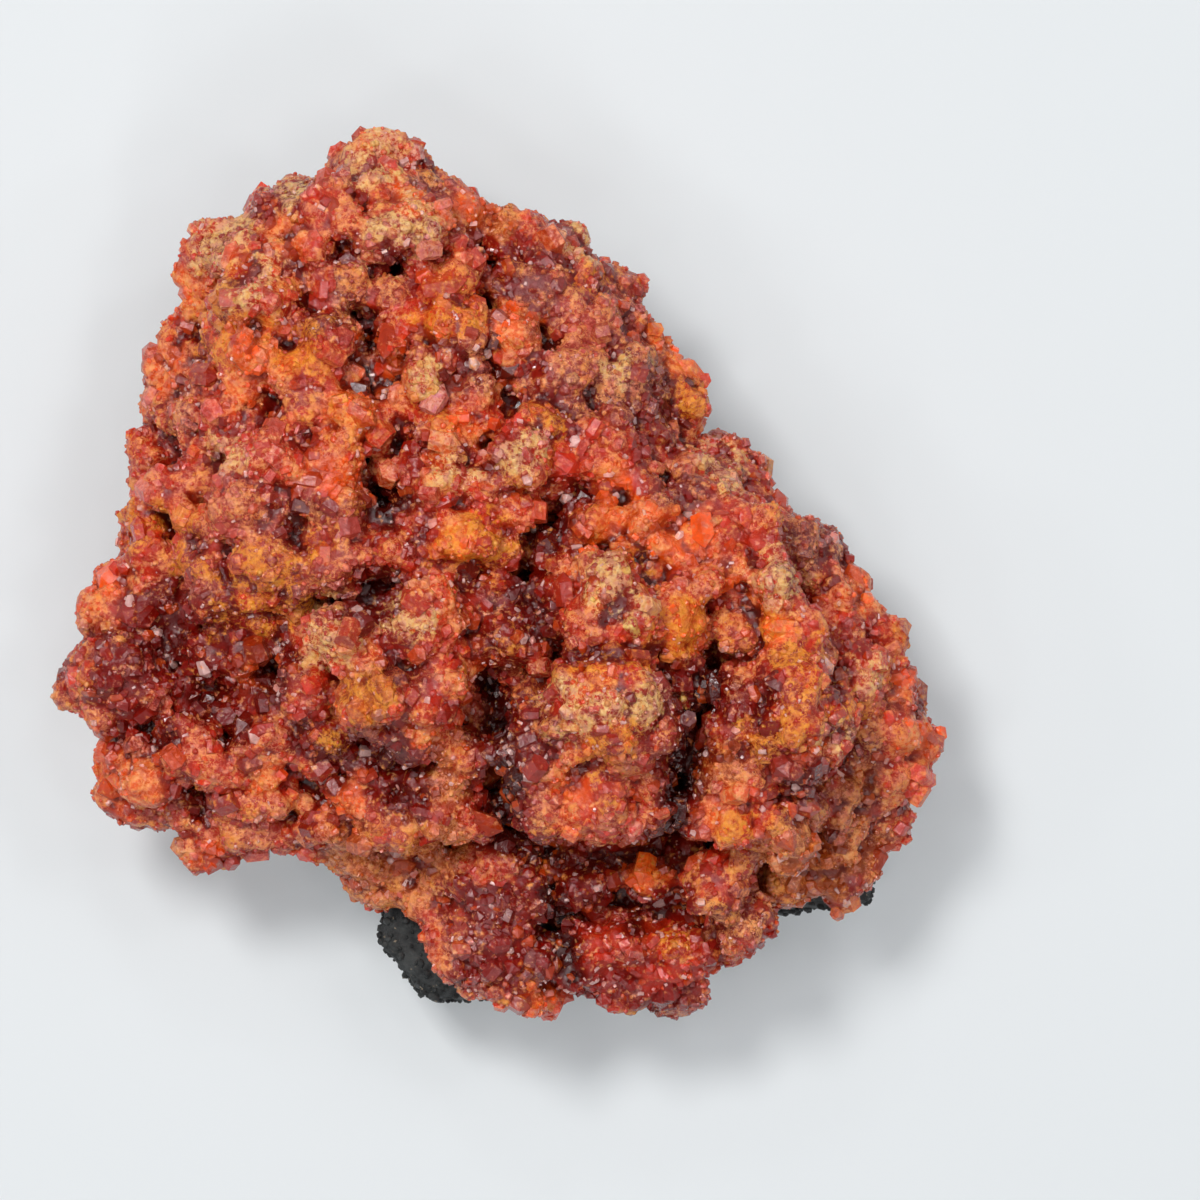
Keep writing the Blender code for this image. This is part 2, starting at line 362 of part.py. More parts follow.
def crystal(place, length, width, heading, lean, spin=0.0):
    """A hexagonal prism under a blunt pyramid. Its tip lies towards the heading, leaning from upright."""
    turn = Euler((0.0, math.radians(lean), math.radians(heading)), "XYZ").to_matrix()
    centre = Vector(place)
    points = []
    for height in (-length / 2, length * CRYSTAL_SHOULDER):
        for i in range(CRYSTAL_SIDES):
            angle = math.tau * i / CRYSTAL_SIDES + spin
            corner = Vector((math.cos(angle) * width / 2, math.sin(angle) * width / 2, height))
            points.append(turn @ corner + centre)
    points.append(turn @ Vector((0.0, 0.0, length * CRYSTAL_TIP)) + centre)
    tip = len(points) - 1
    faces = [list(reversed(range(CRYSTAL_SIDES)))]
    for i in range(CRYSTAL_SIDES):
        j = (i + 1) % CRYSTAL_SIDES
        faces.append([i, j, CRYSTAL_SIDES + j, CRYSTAL_SIDES + i])
        faces.append([CRYSTAL_SIDES + i, CRYSTAL_SIDES + j, tip])
    return points, faces


def lump_frame(top, half_length, half_width):
    """Height of the centre and radii of a lump whose crown is at the given height."""
    depth = max(LUMP_LEAST_DEPTH, LUMP_DEPTH * (half_length + half_width) / 2)
    return top - depth, (half_length, half_width, depth)


def spots_on(radii, turn, count, lowest, highest, chance):
    """Chance directions out of a lump, each with the point that it meets on the lump's skin."""
    spin = Matrix.Rotation(math.radians(turn), 3, "Z")
    for _ in range(count):
        around = chance.uniform(0, math.tau)
        up = chance.uniform(lowest, highest)
        flat = math.sqrt(1 - up * up)
        way = Vector((flat * math.cos(around), flat * math.sin(around), up))
        yield spin @ Vector((way.x * radii[0], way.y * radii[1], way.z * radii[2])), up


def build_rock():
    """The dark rock: a rough slab, cut flat underneath by a saw."""
    shape = Shape()
    shape.add(*slab(ROCK_OUTLINE, ROCK_LEVELS))
    rock = shape.object_named("matrix")
    paint(rock, ROCK_BLACK, 0.85)
    add_skin(rock, ROCK_VOXEL)
    for size, strength in ROCK_GRAINS:
        add_grain(rock, size, strength)
    add_facets(rock, ROCK_KEEP)
    settle(rock)
    side = SAW_REACH
    below = Shape()
    corners = [(-side, -side), (side, -side), (side, side), (-side, side)]
    below.add(*slab(corners, [(-side, 1.0), (0.0, 1.0)]))
    cut(rock, as_helper(below.object_named("saw_cut")), "EXACT")
    settle(rock)
    return rock


def swollen_copy(rock):
    """The rock grown by the gap, which cuts the hollow that the crust sits on it with."""
    grown = bpy.data.objects.new("rock_hollow", rock.data.copy())
    bpy.context.scene.collection.objects.link(grown)
    swell = grown.modifiers.new("gap", "DISPLACE")
    swell.strength = CRUST_GAP
    swell.mid_level = 0.0
    return as_helper(grown)


def add_crystals(shape):
    """The crystals that stand out of the lumps."""
    for x, y, top, length, width, heading, lean in CRYSTALS:
        tilt = math.radians(lean)
        rise = max(CRYSTAL_TIP * length * math.cos(tilt), width / 2 * math.sin(tilt))
        shape.add(*crystal((x, y, top - rise), length, width, heading, lean))
    chance = random.Random(CRYSTAL_SEED)
    for x, y, top, half_length, half_width, turn in LUMPS:
        height, radii = lump_frame(top, half_length, half_width)
        count = round(CRYSTALS_PER_AREA * math.pi * half_length * half_width)
        for spot, up in spots_on(radii, turn, count, 0.25, 0.95, chance):
            width = chance.uniform(*CRYSTAL_WIDTHS)
            heading = math.degrees(math.atan2(spot.y, spot.x)) + chance.uniform(-30, 30)
            lean = math.degrees(math.acos(up)) + chance.uniform(-20, 25)
            place = Vector((x, y, height)) + spot
            shape.add(*crystal(place, width * CRYSTAL_SLENDER, width, heading, lean, chance.uniform(0, 1)))


def build_crust(rock):
    """The zincite: undercoat, swellings, lumps and knobs grown into one crust, with its crystals."""
    shape = Shape()
    shape.add(*slab(BED_OUTLINE, BED_LEVELS))
    ball = unit_ball(3)
    for number, (x, y, top, radius) in enumerate(SWELLINGS):
        shape.add(*lump(ball, (x, y, top - radius), (radius, radius, radius), 0.0, number))
    small_ball = unit_ball(2)
    chance = random.Random(KNOB_SEED)
    for number, (x, y, top, half_length, half_width, turn) in enumerate(LUMPS):
        height, radii = lump_frame(top, half_length, half_width)
        shape.add(*lump(ball, (x, y, height), radii, turn, number + len(SWELLINGS)))
        count = round(KNOBS_PER_AREA * math.pi * half_length * half_width)
        for spot, _ in spots_on(radii, turn, count, -0.2, 0.9, chance):
            size = chance.uniform(*KNOB_SIZES)
            place = Vector((x, y, height)) + spot * (1.0 - KNOB_SINK * size / half_width)
            shape.add(*lump(small_ball, place, (size, size, size), 0.0, chance.uniform(0, 90)))
    add_crystals(shape)
    crust = shape.object_named("zincite_crust")
    paint(crust, ZINCITE_RED, 0.3)
    add_skin(crust, CRUST_VOXEL)
    add_grain(crust, *CRUST_GRAIN)
    add_facets(crust, CRUST_KEEP)
    cut(crust, swollen_copy(rock), "MANIFOLD")
    settle(crust)


def main():
    clear_scene()
    rock = build_rock()
    build_crust(rock)


main()
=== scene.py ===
"""Looks of the zincite specimen: the druse of fine crystals that covers its crust, and the grainy rock below.

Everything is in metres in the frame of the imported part. Sizes and places in the tables are in millimetres.
"""

import math

import bmesh
import bpy
import numpy as np
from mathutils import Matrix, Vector, bvhtree, noise


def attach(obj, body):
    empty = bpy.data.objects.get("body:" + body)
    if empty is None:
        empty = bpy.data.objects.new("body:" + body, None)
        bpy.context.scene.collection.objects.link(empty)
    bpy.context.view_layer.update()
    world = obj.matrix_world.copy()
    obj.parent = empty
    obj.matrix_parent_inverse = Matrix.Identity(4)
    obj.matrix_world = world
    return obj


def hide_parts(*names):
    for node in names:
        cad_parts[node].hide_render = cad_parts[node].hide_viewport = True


MM = 0.001

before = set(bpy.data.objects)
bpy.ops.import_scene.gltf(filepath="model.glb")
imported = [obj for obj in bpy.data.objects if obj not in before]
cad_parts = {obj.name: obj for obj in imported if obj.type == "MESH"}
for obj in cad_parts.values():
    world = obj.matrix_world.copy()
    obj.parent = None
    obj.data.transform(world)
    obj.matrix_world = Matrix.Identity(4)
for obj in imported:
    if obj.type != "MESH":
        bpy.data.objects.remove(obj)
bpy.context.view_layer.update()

# The skin of the crust
SKIN_VOXEL = 0.38
HIGHEST = 31.55
SKIN_ROUNDS = 3
SKIN_DRAWN_IN = 0.02
CREVICE_DEPTH = 0.8
CREVICE_START = 0.15
SKIN_RAISED = 0.04
SKIN_LIMIT = 186000
KNUBS = 4400
KNUB_SIZES = (1.0, 2.9)
KNUB_TILT = 80
KNUB_LEAST_SWELL = -0.7
LUMPS = (2.3, 0.30, 11.0)
BUMPS = (1.1, 0.20, 37.0)
NODULE_REACH = 0.88
FINE_ROUNDS = 12
BROAD_ROUNDS = 110

# The druse: count, width range, slenderness range, share sunk in the skin, pull towards the smaller widths,
# and how often it grows on clean and on frosted ground
FROST_GRAINS = (6500, (0.26, 0.70), (0.7, 1.2), 0.60, 1.5, (0.15, 1.0))
GLINTS = (4200, (0.16, 0.46), (0.7, 1.3), 0.45, 1.6, (1.0, 0.7))
FINE_GRAINS = (7000, (0.28, 0.62), (0.7, 1.4), 0.55, 1.4, (1.0, 0.35))
MID_GRAINS = (5200, (0.60, 1.25), (0.8, 1.4), 0.62, 1.6, (1.0, 0.30))
LARGE_GRAINS = (1000, (1.1, 2.1), (0.9, 1.4), 0.72, 1.9, (1.0, 0.6))
ROCK_CLEARANCE = 0.3

# The rock
ROCK_VOXEL = 0.62
ROCK_GRANULES = 3600
ROCK_GRANULE_SIZES = (0.28, 0.85)
ROCK_SEED = 19

# The lights, in metres: how far out and how high the side ones stand, and how far away the small ones are
SIDE_REACH = 0.42
SIDE_HEIGHT = 0.62
SPARK_REACH = 0.7
SPARKS = 12

# The camera, above the specimen and looking straight down, in millimetres
CAMERA_PLACE = (6.86, -1.86, 620)
CAMERA_LENS = 252.0

PALETTE = {
    "orange": (226, 86, 16),
    "coral": (188, 42, 16),
    "rose": (176, 64, 54),
    # deep red of the crystals, also laid as painted shade in creases, crevices and hollows
    "deep_red": (118, 10, 3),
    "mauve": (116, 34, 32),
    "brown": (172, 78, 24),
    # near black, laid only as painted shade in creases, crevices and hollows
    "dark": (36, 3, 2),
    # near white, painted on crystals as glints
    "painted_glint_pale": (240, 206, 208),
    "pale_ochre": (255, 214, 138),
    "gold": (252, 172, 56),
    "peach": (252, 174, 106),
}

# How much frosting lies on each ground colour
FROSTED = {
    "orange": 0.42, "coral": 0.36, "rose": 0.50, "deep_red": 0.12, "mauve": 0.36, "brown": 0.5, "dark": 0.0,
}
FROSTINGS = {"pale_ochre": 0.62, "gold": 0.54}

# Where the crust takes on one of its colours, seen from above: (x, y, radius). Some deep red and brown spots
# are painted shade.
PATCHES = {
    "mauve": [
        (-1.6, -24.0, 2.6), (16.2, -24.6, 1.8), (-0.4, -28.6, 1.8), (-14.9, 24.6, 1.2), (-9.5, 21.5, 3.0),
        (-17.3, 17.8, 2.0), (-12.0, 18.4, 1.6), (-9.3, 12.4, 1.4), (-5.5, 27.7, 1.2), (2.2, 19.4, 2.6),
        (-2.2, 14.7, 1.6), (9.0, 17.0, 3.4), (10.5, 13.0, 2.6), (5.5, 13.5, 2.4), (-23.3, 12.0, 1.8),
        (13.0, 6.3, 1.4), (22.1, 1.4, 2.6), (-9.5, -1.4, 1.6), (1.6, -11.2, 2.6), (0.2, -9.2, 1.6),
        (25.4, -12.9, 1.4), (-3.0, -26.4, 1.6), (-2.2, -22.6, 1.4), (-21.0, -0.2, 2.4), (-15.5, 0.5, 2.4),
        (-12.5, -1.2, 1.8), (-12.6, 3.4, 2.0), (-16.5, 4.0, 1.8),
    ],
    "rose": [
        (-24.6, 12.5, 1.6), (-9.0, 22.5, 2.2), (7.0, 19.5, 2.4), (-20.0, 8.0, 2.0), (-2.2, -24.6, 2.2),
        (2.6, -15.0, 2.0), (16.0, -5.0, 2.0), (5.0, 15.5, 2.2), (-18.5, 2.0, 3.6), (-22.5, 0.5, 2.4),
        (-12.0, 1.5, 2.6), (-6.8, -13.0, 2.0), (-8.2, -16.6, 2.4), (8.0, -15.6, 2.0), (20.4, -14.5, 2.0),
        (26.0, -9.2, 1.6), (-18.8, -18.0, 2.0), (-28.3, -9.2, 1.6),
    ],
    # Deep red is the crystals' own colour, but the spots on the crevices and hollows listed below, and the
    # wide one at (22.0, -21.0) at the lower right, are painted shade
    "deep_red": [
        (-2.5, -21.5, 2.4), (-0.5, -25.5, 2.8), (2.0, -29.0, 2.2), (6.5, -28.5, 2.4), (6.2, -23.0, 2.2),
        (12.0, -30.0, 1.8), (0.0, -12.0, 2.4), (-0.5, -17.0, 2.4), (13.8, -9.0, 2.0), (12.5, -15.0, 2.2),
        (11.5, -19.0, 2.4), (5.0, -21.0, 2.8), (4.0, -25.6, 1.9), (9.0, -22.5, 2.4), (-8.0, -13.5, 2.4),
        (-7.0, -16.0, 2.0), (-16.5, -8.0, 2.2), (-21.2, -8.8, 2.4), (-24.0, -4.5, 3.4), (2.1, -2.3, 2.2),
        (3.6, 3.0, 1.6), (-9.3, -1.4, 1.8), (21.5, -14.5, 1.8), (22.0, -21.0, 4.4), (-11.0, -13.0, 1.8),
        (-19.2, -11.5, 1.6), (-26.6, -6.4, 3.0), (-1.5, -22.0, 2.4), (-16.0, 26.2, 1.8), (1.2, 22.2, 1.9),
        (13.7, 4.7, 1.6), (17.7, 5.5, 1.2), (10.0, 10.5, 1.8), (0.25, -4.6, 2.5), (-22.0, -6.0, 4.4),
        (-24.5, -3.0, 2.2), (16.3, -9.6, 1.8), (5.6, -22.2, 2.2), (10.8, -31.4, 1.2), (-0.6, -20.6, 2.2),
        (2.75, -28.7, 1.2), (-27.5, -7.4, 2.8), (-23.4, -15.6, 1.6), (-14.5, -10.4, 1.6),
        (19.0, -12.4, 1.5), (13.0, -8.6, 1.5), (9.4, -23.4, 1.5), (12.4, -24.0, 1.6), (5.8, -22.6, 2.4),
        (4.6, -27.4, 1.6), (8.8, -29.4, 1.8), (-2.6, -28.6, 1.4),
    ],
    "coral": [
        (-12.0, 25.8, 1.6), (-6.9, 30.6, 1.1), (-15.8, 8.4, 2.6), (-12.9, 23.7, 1.1), (-25.9, 8.7, 2.0),
        (-4.1, 21.1, 1.9), (7.0, 7.4, 3.0), (16.7, 2.5, 2.9), (-7.6, 1.9, 1.7), (-8.2, 8.1, 1.2),
        (-22.2, -11.9, 2.5), (-16.2, -12.3, 2.0), (-14.6, -9.2, 1.2), (-1.2, -17.6, 1.3),
        (9.2, -17.8, 1.3), (11.2, -17.4, 1.3), (-1.1, -20.1, 1.6), (10.2, -21.4, 1.5), (7.0, -26.6, 1.8),
        (11.2, -28.1, 1.6), (23.6, -1.9, 1.4), (28.2, -4.4, 1.7), (-17.0, 20.4, 1.8), (-20.5, 11.5, 2.0),
        (-12.0, 9.4, 2.0), (13.6, 0.4, 1.8), (-19.6, -14.4, 2.2), (5.6, -18.0, 1.6),
    ],
    "orange": [
        (-10.0, 31.5, 0.9), (-7.3, 26.8, 0.9), (-15.3, 23.8, 1.0), (-17.3, 15.6, 2.0), (-24.0, 14.9, 1.3),
        (-22.9, 21.5, 0.9), (-13.6, 6.9, 1.1), (-12.0, 7.1, 0.9), (-10.4, 11.4, 1.8), (-7.8, 13.2, 0.9),
        (0.7, 17.1, 1.7), (-3.1, 26.2, 0.9), (10.7, 17.5, 0.9), (12.2, 14.7, 1.0), (9.4, 3.2, 1.7),
        (12.5, 2.3, 2.2), (6.6, 2.3, 1.3), (7.9, 4.7, 1.0), (16.7, 0.1, 1.1), (-28.9, -0.6, 1.0),
        (-17.7, -7.0, 1.2), (-26.8, -14.7, 2.0), (-28.0, -15.8, 1.0), (-11.5, -15.4, 1.2),
        (-17.1, -15.0, 1.2), (-5.2, -11.4, 1.0), (5.0, -15.2, 1.0), (25.5, -1.1, 1.2), (28.7, -8.1, 1.1),
        (30.3, -12.2, 1.2), (21.6, -12.6, 1.1), (2.75, -30.8, 1.0), (7.8, 7.0, 1.2), (19.2, -3.6, 1.2),
        (13.6, -3.6, 1.2), (-19.6, 13.2, 1.2), (-3.6, 2.6, 1.1), (14.4, -17.2, 1.2), (9.7, -21.1, 1.5),
        (4.6, -20.6, 1.2),
    ],
    "brown": [
        # The three spots around (22.5, -21) at the lower right are partly the crust's own brown and partly
        # painted shade
        (-11.0, -20.4, 2.6), (-8.2, -22.6, 2.4), (-6.0, -20.4, 1.8), (20.5, -20.5, 2.6),
        (24.5, -19.6, 2.6), (22.5, -22.4, 2.0), (-9.8, -8.7, 2.0), (15.5, -13.5, 1.8), (-4.3, -14.5, 1.6),
        (0.0, 25.3, 1.1), (-3.9, -18.9, 1.4), (25.4, -15.6, 1.8),
    ],
    "gold": [
        (-18.0, 19.8, 2.2), (-14.0, 15.6, 1.4), (-26.9, 3.6, 1.8), (-19.7, -2.1, 1.5), (-21.3, -4.5, 0.8),
        (-9.8, -8.7, 1.4), (-12.4, -11.4, 1.3), (-3.9, 18.4, 1.8), (-5.3, 12.9, 1.3), (1.8, 8.4, 1.9),
        (3.2, 10.5, 1.3), (-3.75, 1.55, 1.5), (-0.85, 1.4, 1.4), (12.7, 12.0, 1.4), (12.1, -3.5, 1.8),
        (18.8, -3.2, 1.1), (21.8, -4.7, 1.2), (20.5, -6.5, 1.3), (22.1, -8.1, 1.3), (24.0, -9.5, 1.4),
        (21.0, -10.6, 1.5), (18.3, -11.7, 1.3), (0.65, -28.5, 0.8), (11.7, -26.4, 0.9), (5.6, -7.2, 1.6),
        (9.6, -10.6, 1.8), (9.2, -6.6, 1.4), (6.4, -12.6, 1.4), (-1.2, 3.6, 0.9), (8.6, 0.6, 1.1),
        (-17.6, 0.6, 1.5), (-13.1, 1.8, 1.2), (-22.9, 1.2, 1.2), (6.6, 21.4, 1.2), (17.2, -17.6, 1.2),
        (-20.8, 16.4, 1.1), (-16.4, -1.8, 1.7), (-14.0, -3.0, 1.4), (-18.2, -3.6, 1.2),
    ],
    "pale_ochre": [
        (-8.9, 29.9, 2.1), (-7.6, 24.2, 2.0), (-6.0, 24.8, 1.6), (-15.7, 28.4, 1.2), (-20.4, 24.8, 2.2),
        (-21.0, 22.8, 1.6), (-19.5, 8.5, 1.4), (-12.5, -4.5, 2.1), (-6.7, -3.2, 1.7), (-4.5, 7.0, 1.1),
        (-3.2, 7.1, 0.9), (1.9, 9.2, 0.9), (5.5, 24.0, 1.3), (8.9, 14.7, 1.1), (15.5, 8.0, 1.7),
        (7.4, -0.6, 1.5), (8.4, -2.2, 1.2), (19.3, -0.3, 1.7), (25.7, -7.2, 1.2), (23.7, -11.7, 0.9),
        (5.0, -8.6, 1.3), (7.6, -9.0, 1.2), (10.6, -8.4, 1.2), (4.6, -11.4, 1.0), (11.0, -9.8, 0.9),
        (-5.4, 13.6, 0.8), (-17.9, 19.9, 1.2), (0.6, 8.2, 0.8), (-16.7, 21.9, 1.1),
    ],
}


# Where hardly any frosting lies: (x, y, radius)
GLASSY = [
    (-0.5, -24.5, 4.4), (6.0, -23.0, 3.2), (8.0, -27.5, 4.6), (13.5, -29.0, 3.0), (9.7, -21.1, 2.0),
    (-22.5, -5.0, 4.6), (-8.0, -14.5, 3.0), (2.0, -29.5, 3.0), (12.0, -23.5, 2.6), (22.5, -21.0, 3.0),
    (13.0, -9.0, 2.4),
]

# Crevices and hollows between the lumps, seen from above: (x, y, length, width, heading, depth)
HOLLOWS = [
    (7.4, -5.6, 8.0, 0.8, 4, 0.9), (-0.3, -10.4, 6.4, 2.0, 100, 2.2), (0.0, -16.0, 6.6, 2.3, 86, 2.3),
    (14.0, -9.0, 5.8, 1.9, 72, 2.0), (12.4, -15.6, 8.4, 2.0, 78, 2.2), (2.6, -19.9, 5.6, 1.8, 162, 1.6),
    (8.4, -20.4, 6.8, 1.5, 7, 1.2), (4.0, -25.8, 8.0, 1.8, 102, 2.2), (-8.3, 5.0, 3.4, 2.8, 44, 2.6),
    (2.1, -2.3, 6.1, 2.0, 111, 1.2), (-9.3, -1.6, 4.0, 2.4, 53, 1.0), (-24.1, -4.5, 4.4, 2.7, 92, 1.1),
    (-8.1, -13.4, 3.3, 2.2, 177, 1.2), (-16.7, -7.8, 3.2, 2.2, 62, 1.2), (-21.2, -8.8, 3.4, 2.5, 42, 1.2),
    (3.6, 3.0, 3.3, 1.8, 52, 1.4), (-6.8, -15.6, 3.2, 1.7, 5, 1.2), (21.4, -14.5, 4.0, 1.4, 34, 1.2),
(-15.6, -5.2, 2.6, 0.9, 123, 0.8), (-10.8, -13.1, 4.6, 1.1, 59, 1.0),
    (-19.2, -11.5, 2.2, 1.4, 15, 1.2), (-24.3, -11.6, 2.2, 1.5, 66, 1.2), (-9.4, 17.3, 3.2, 1.0, 79, 1.5),
    (5.4, 5.7, 2.0, 1.5, 23, 1.4), (-21.7, -17.1, 2.0, 1.3, 28, 1.0), (-14.5, -11.3, 2.4, 1.2, 72, 1.0),
    (-13.0, -14.2, 3.4, 0.8, 112, 0.9), (23.9, -7.8, 2.6, 0.9, 87, 0.9), (-18.6, -5.2, 2.0, 0.9, 78, 0.7),
    (-11.6, 23.1, 1.6, 0.9, 59, 1.2), (-8.1, 22.9, 1.5, 0.9, 120, 1.0), (-2.8, 8.3, 1.6, 1.0, 71, 1.0),
    (-16.9, 11.3, 1.8, 1.0, 40, 1.0), (-13.8, 9.6, 1.6, 0.9, 100, 1.0), (-21.9, 2.1, 1.6, 1.0, 99, 1.2),
    (-19.6, -0.2, 1.8, 0.8, 142, 1.0), (9.6, -24.6, 3.0, 1.2, 60, 1.2), (18.6, -9.2, 4.0, 1.0, 70, 0.9),
    (-6.1, 2.3, 1.8, 0.8, 57, 0.9), (-2.1, -0.4, 2.0, 1.0, 94, 0.9), (15.1, -27.2, 2.0, 0.8, 66, 0.8),
]

# Lumps that close gaps the crust doesn't have: (x, y, width)
FILLERS = [
    (-12.2, 0.5, 2.6), (-9.7, 0.4, 2.4), (-8.2, 0.7, 2.2), (-14.4, -0.9, 2.2), (-13.0, -0.6, 2.4),
    (-11.4, -0.4, 2.4), (-6.8, 0.4, 2.2), (-5.4, 0.6, 2.2), (-1.2, 10.6, 2.4), (0.1, 12.3, 2.6),
    (1.2, 14.0, 2.4), (-11.2, 14.1, 2.8), (-1.6, 15.8, 1.8), (4.7, 12.2, 2.6), (-8.5, 9.9, 2.4),
    (10.4, 0.3, 2.4), (-14.4, -16.5, 2.2), (-15.9, 17.4, 2.4), (-3.5, 23.8, 2.2), (26.0, -9.5, 2.0),
    (16.4, -1.6, 2.2), (11.2, 8.4, 2.0), (-7.9, 14.8, 2.0), (-4.9, -20.2, 2.2), (24.2, -23.2, 2.4),
    (-24.6, -10.0, 1.6), (3.2, 12.4, 2.2), (-12.4, 13.2, 2.2), (-20.3, -4.0, 2.8), (-15.6, 5.3, 2.6),
    (-19.6, 9.6, 2.6), (-9.0, 9.6, 3.0), (0.4, 12.9, 3.0), (-2.3, 15.2, 2.6), (1.4, 13.6, 2.6),
]

# The larger crystals that stand free: (x, y, height of the tip, length, width, heading, lean)
STANDING_CRYSTALS = [
    (-16.8, 8.4, 25.8, 5.0, 2.2, 250, 70), (-14.4, 6.0, 25.2, 3.0, 1.0, 235, 75),
    (-13.6, 6.6, 25.6, 3.2, 1.3, 350, 82), (-11.9, 25.9, 22.6, 4.6, 1.9, 300, 72),
    (-24.9, 15.0, 15.4, 3.6, 1.8, 175, 80), (-26.3, 8.9, 14.8, 3.4, 2.0, 185, 70),
    (-18.4, 16.0, 24.8, 3.0, 1.8, 120, 50), (-17.6, 19.6, 24.8, 5.0, 1.5, 5, 84),
    (-3.9, 20.6, 23.4, 3.6, 1.8, 10, 80), (-10.2, 11.2, 25.2, 3.8, 1.6, 330, 78),
    (19.9, -18.4, 23.6, 4.6, 1.8, 300, 72), (20.4, -19.4, 22.2, 3.0, 1.2, 320, 70),
    (21.6, -16.6, 22.6, 3.0, 1.3, 350, 78), (13.4, -30.2, 12.8, 4.6, 2.2, 340, 84),
    (17.2, -26.4, 16.0, 4.2, 2.3, 290, 66), (-21.2, -20.3, 14.0, 4.4, 2.4, 262, 66),
    (-28.3, -15.3, 14.8, 3.6, 1.9, 200, 70), (-1.1, -17.9, 22.0, 3.4, 1.6, 340, 74),
    (25.3, -1.2, 15.2, 3.0, 1.5, 320, 78), (28.2, -4.4, 15.0, 3.2, 1.7, 330, 74),
    (30.6, -12.2, 13.6, 3.2, 1.5, 320, 80), (9.0, -17.6, 24.8, 2.8, 1.5, 262, 60),
    (11.1, -17.0, 24.4, 2.8, 1.5, 280, 60), (-6.6, 30.6, 17.2, 3.0, 1.4, 20, 74),
    (2.9, -28.4, 15.4, 3.0, 1.6, 300, 60), (-26.9, -2.8, 17.0, 3.6, 2.0, 340, 74),
    (-8.3, 16.2, 23.6, 3.0, 1.4, 260, 64), (4.2, -30.4, 12.2, 2.6, 1.4, 330, 82),
    (-10.2, 31.3, 17.6, 2.6, 1.4, 100, 70), (13.6, 12.1, 16.0, 2.6, 1.4, 350, 76),
]
STANDING_TIP = 0.36

# Crystals that narrow the gaps through which the rock shows: (x, y, z, width)
GAP_CRYSTALS = [
    (3.6, -24.2, 12.4, 2.0), (5.6, -25.8, 12.8, 2.0), (4.4, -23.6, 12.2, 1.8), (11.2, -23.4, 12.4, 1.8),
    (12.2, -25.0, 12.8, 1.8),
]


def shown_srgb(colour):
    """The linear colour of one given in 0-255 steps."""
    shares = np.array(colour, float) / 255
    return np.where(shares <= 0.04045, shares / 12.92, ((shares + 0.055) / 1.055) ** 2.4)


LINEAR = {name: shown_srgb(colour) for name, colour in PALETTE.items()}


# Meshes as arrays

def merged_copy(node, name):
    """A copy of a node's mesh with its loose triangles joined up, as a new object."""
    bm = bmesh.new()
    bm.from_mesh(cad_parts[node].data)
    bmesh.ops.remove_doubles(bm, verts=bm.verts, dist=0.001 * MM)
    bmesh.ops.recalc_face_normals(bm, faces=bm.faces)
    mesh = bpy.data.meshes.new(name)
    bm.to_mesh(mesh)
    bm.free()
    made = bpy.data.objects.new(name, mesh)
    bpy.context.scene.collection.objects.link(made)
    return made


def remesh(made, voxel):
    """Turns an object's mesh into one even skin."""
    skin = made.modifiers.new("even_skin", "REMESH")
    skin.mode = "VOXEL"
    skin.voxel_size = voxel * MM
    graph = bpy.context.evaluated_depsgraph_get()
    faces = len(made.evaluated_get(graph).to_mesh().polygons) * 2
    if faces > SKIN_LIMIT:
        thinned = made.modifiers.new("thinned", "DECIMATE")
        thinned.ratio = SKIN_LIMIT / faces
        graph = bpy.context.evaluated_depsgraph_get()
    mesh = bpy.data.meshes.new_from_object(made.evaluated_get(graph))
    made.modifiers.clear()
    made.data = mesh


def points_of(mesh):
    flat = np.empty(len(mesh.vertices) * 3, np.float32)
    mesh.vertices.foreach_get("co", flat)
    return flat.reshape(-1, 3).astype(float) / MM


def set_points(mesh, points):
    mesh.vertices.foreach_set("co", (points * MM).astype(np.float32).ravel())
    mesh.update()


def normals_of(mesh):
    flat = np.empty(len(mesh.vertices) * 3, np.float32)
    mesh.vertex_normals.foreach_get("vector", flat)
    return flat.reshape(-1, 3).astype(float)


def edges_of(mesh):
    flat = np.empty(len(mesh.edges) * 2, np.int32)
    mesh.edges.foreach_get("vertices", flat)
    return flat.reshape(-1, 2)


def eased(values, edges, rounds, share=0.5):
    """Values at the vertices, drawn towards those of their neighbours."""
    count = len(values)
    first, second = edges[:, 0], edges[:, 1]
    links = np.bincount(first, minlength=count) + np.bincount(second, minlength=count)
    links = np.maximum(links, 1)
    values = values.copy()
    for _ in range(rounds):
        for axis in range(values.shape[1]):
            column = values[:, axis]
            total = np.bincount(first, weights=column[second], minlength=count)
            total += np.bincount(second, weights=column[first], minlength=count)
            values[:, axis] = column + share * (total / links - column)
    return values


def softened(points, edges, rounds):
    """Rounds off a skin's facets without shrinking it."""
    for _ in range(rounds):
        points = eased(points, edges, 1, 0.55)
        points = eased(points, edges, 1, -0.57)
    return points


def soft_noise(points, size, offset):
    """Smooth noise from about -1 to 1, with features of the given size in millimetres."""
    shift = Vector((offset, offset * 0.37, -offset * 0.71))
    return np.array([noise.noise(Vector(point) + shift) for point in (points / size).tolist()])


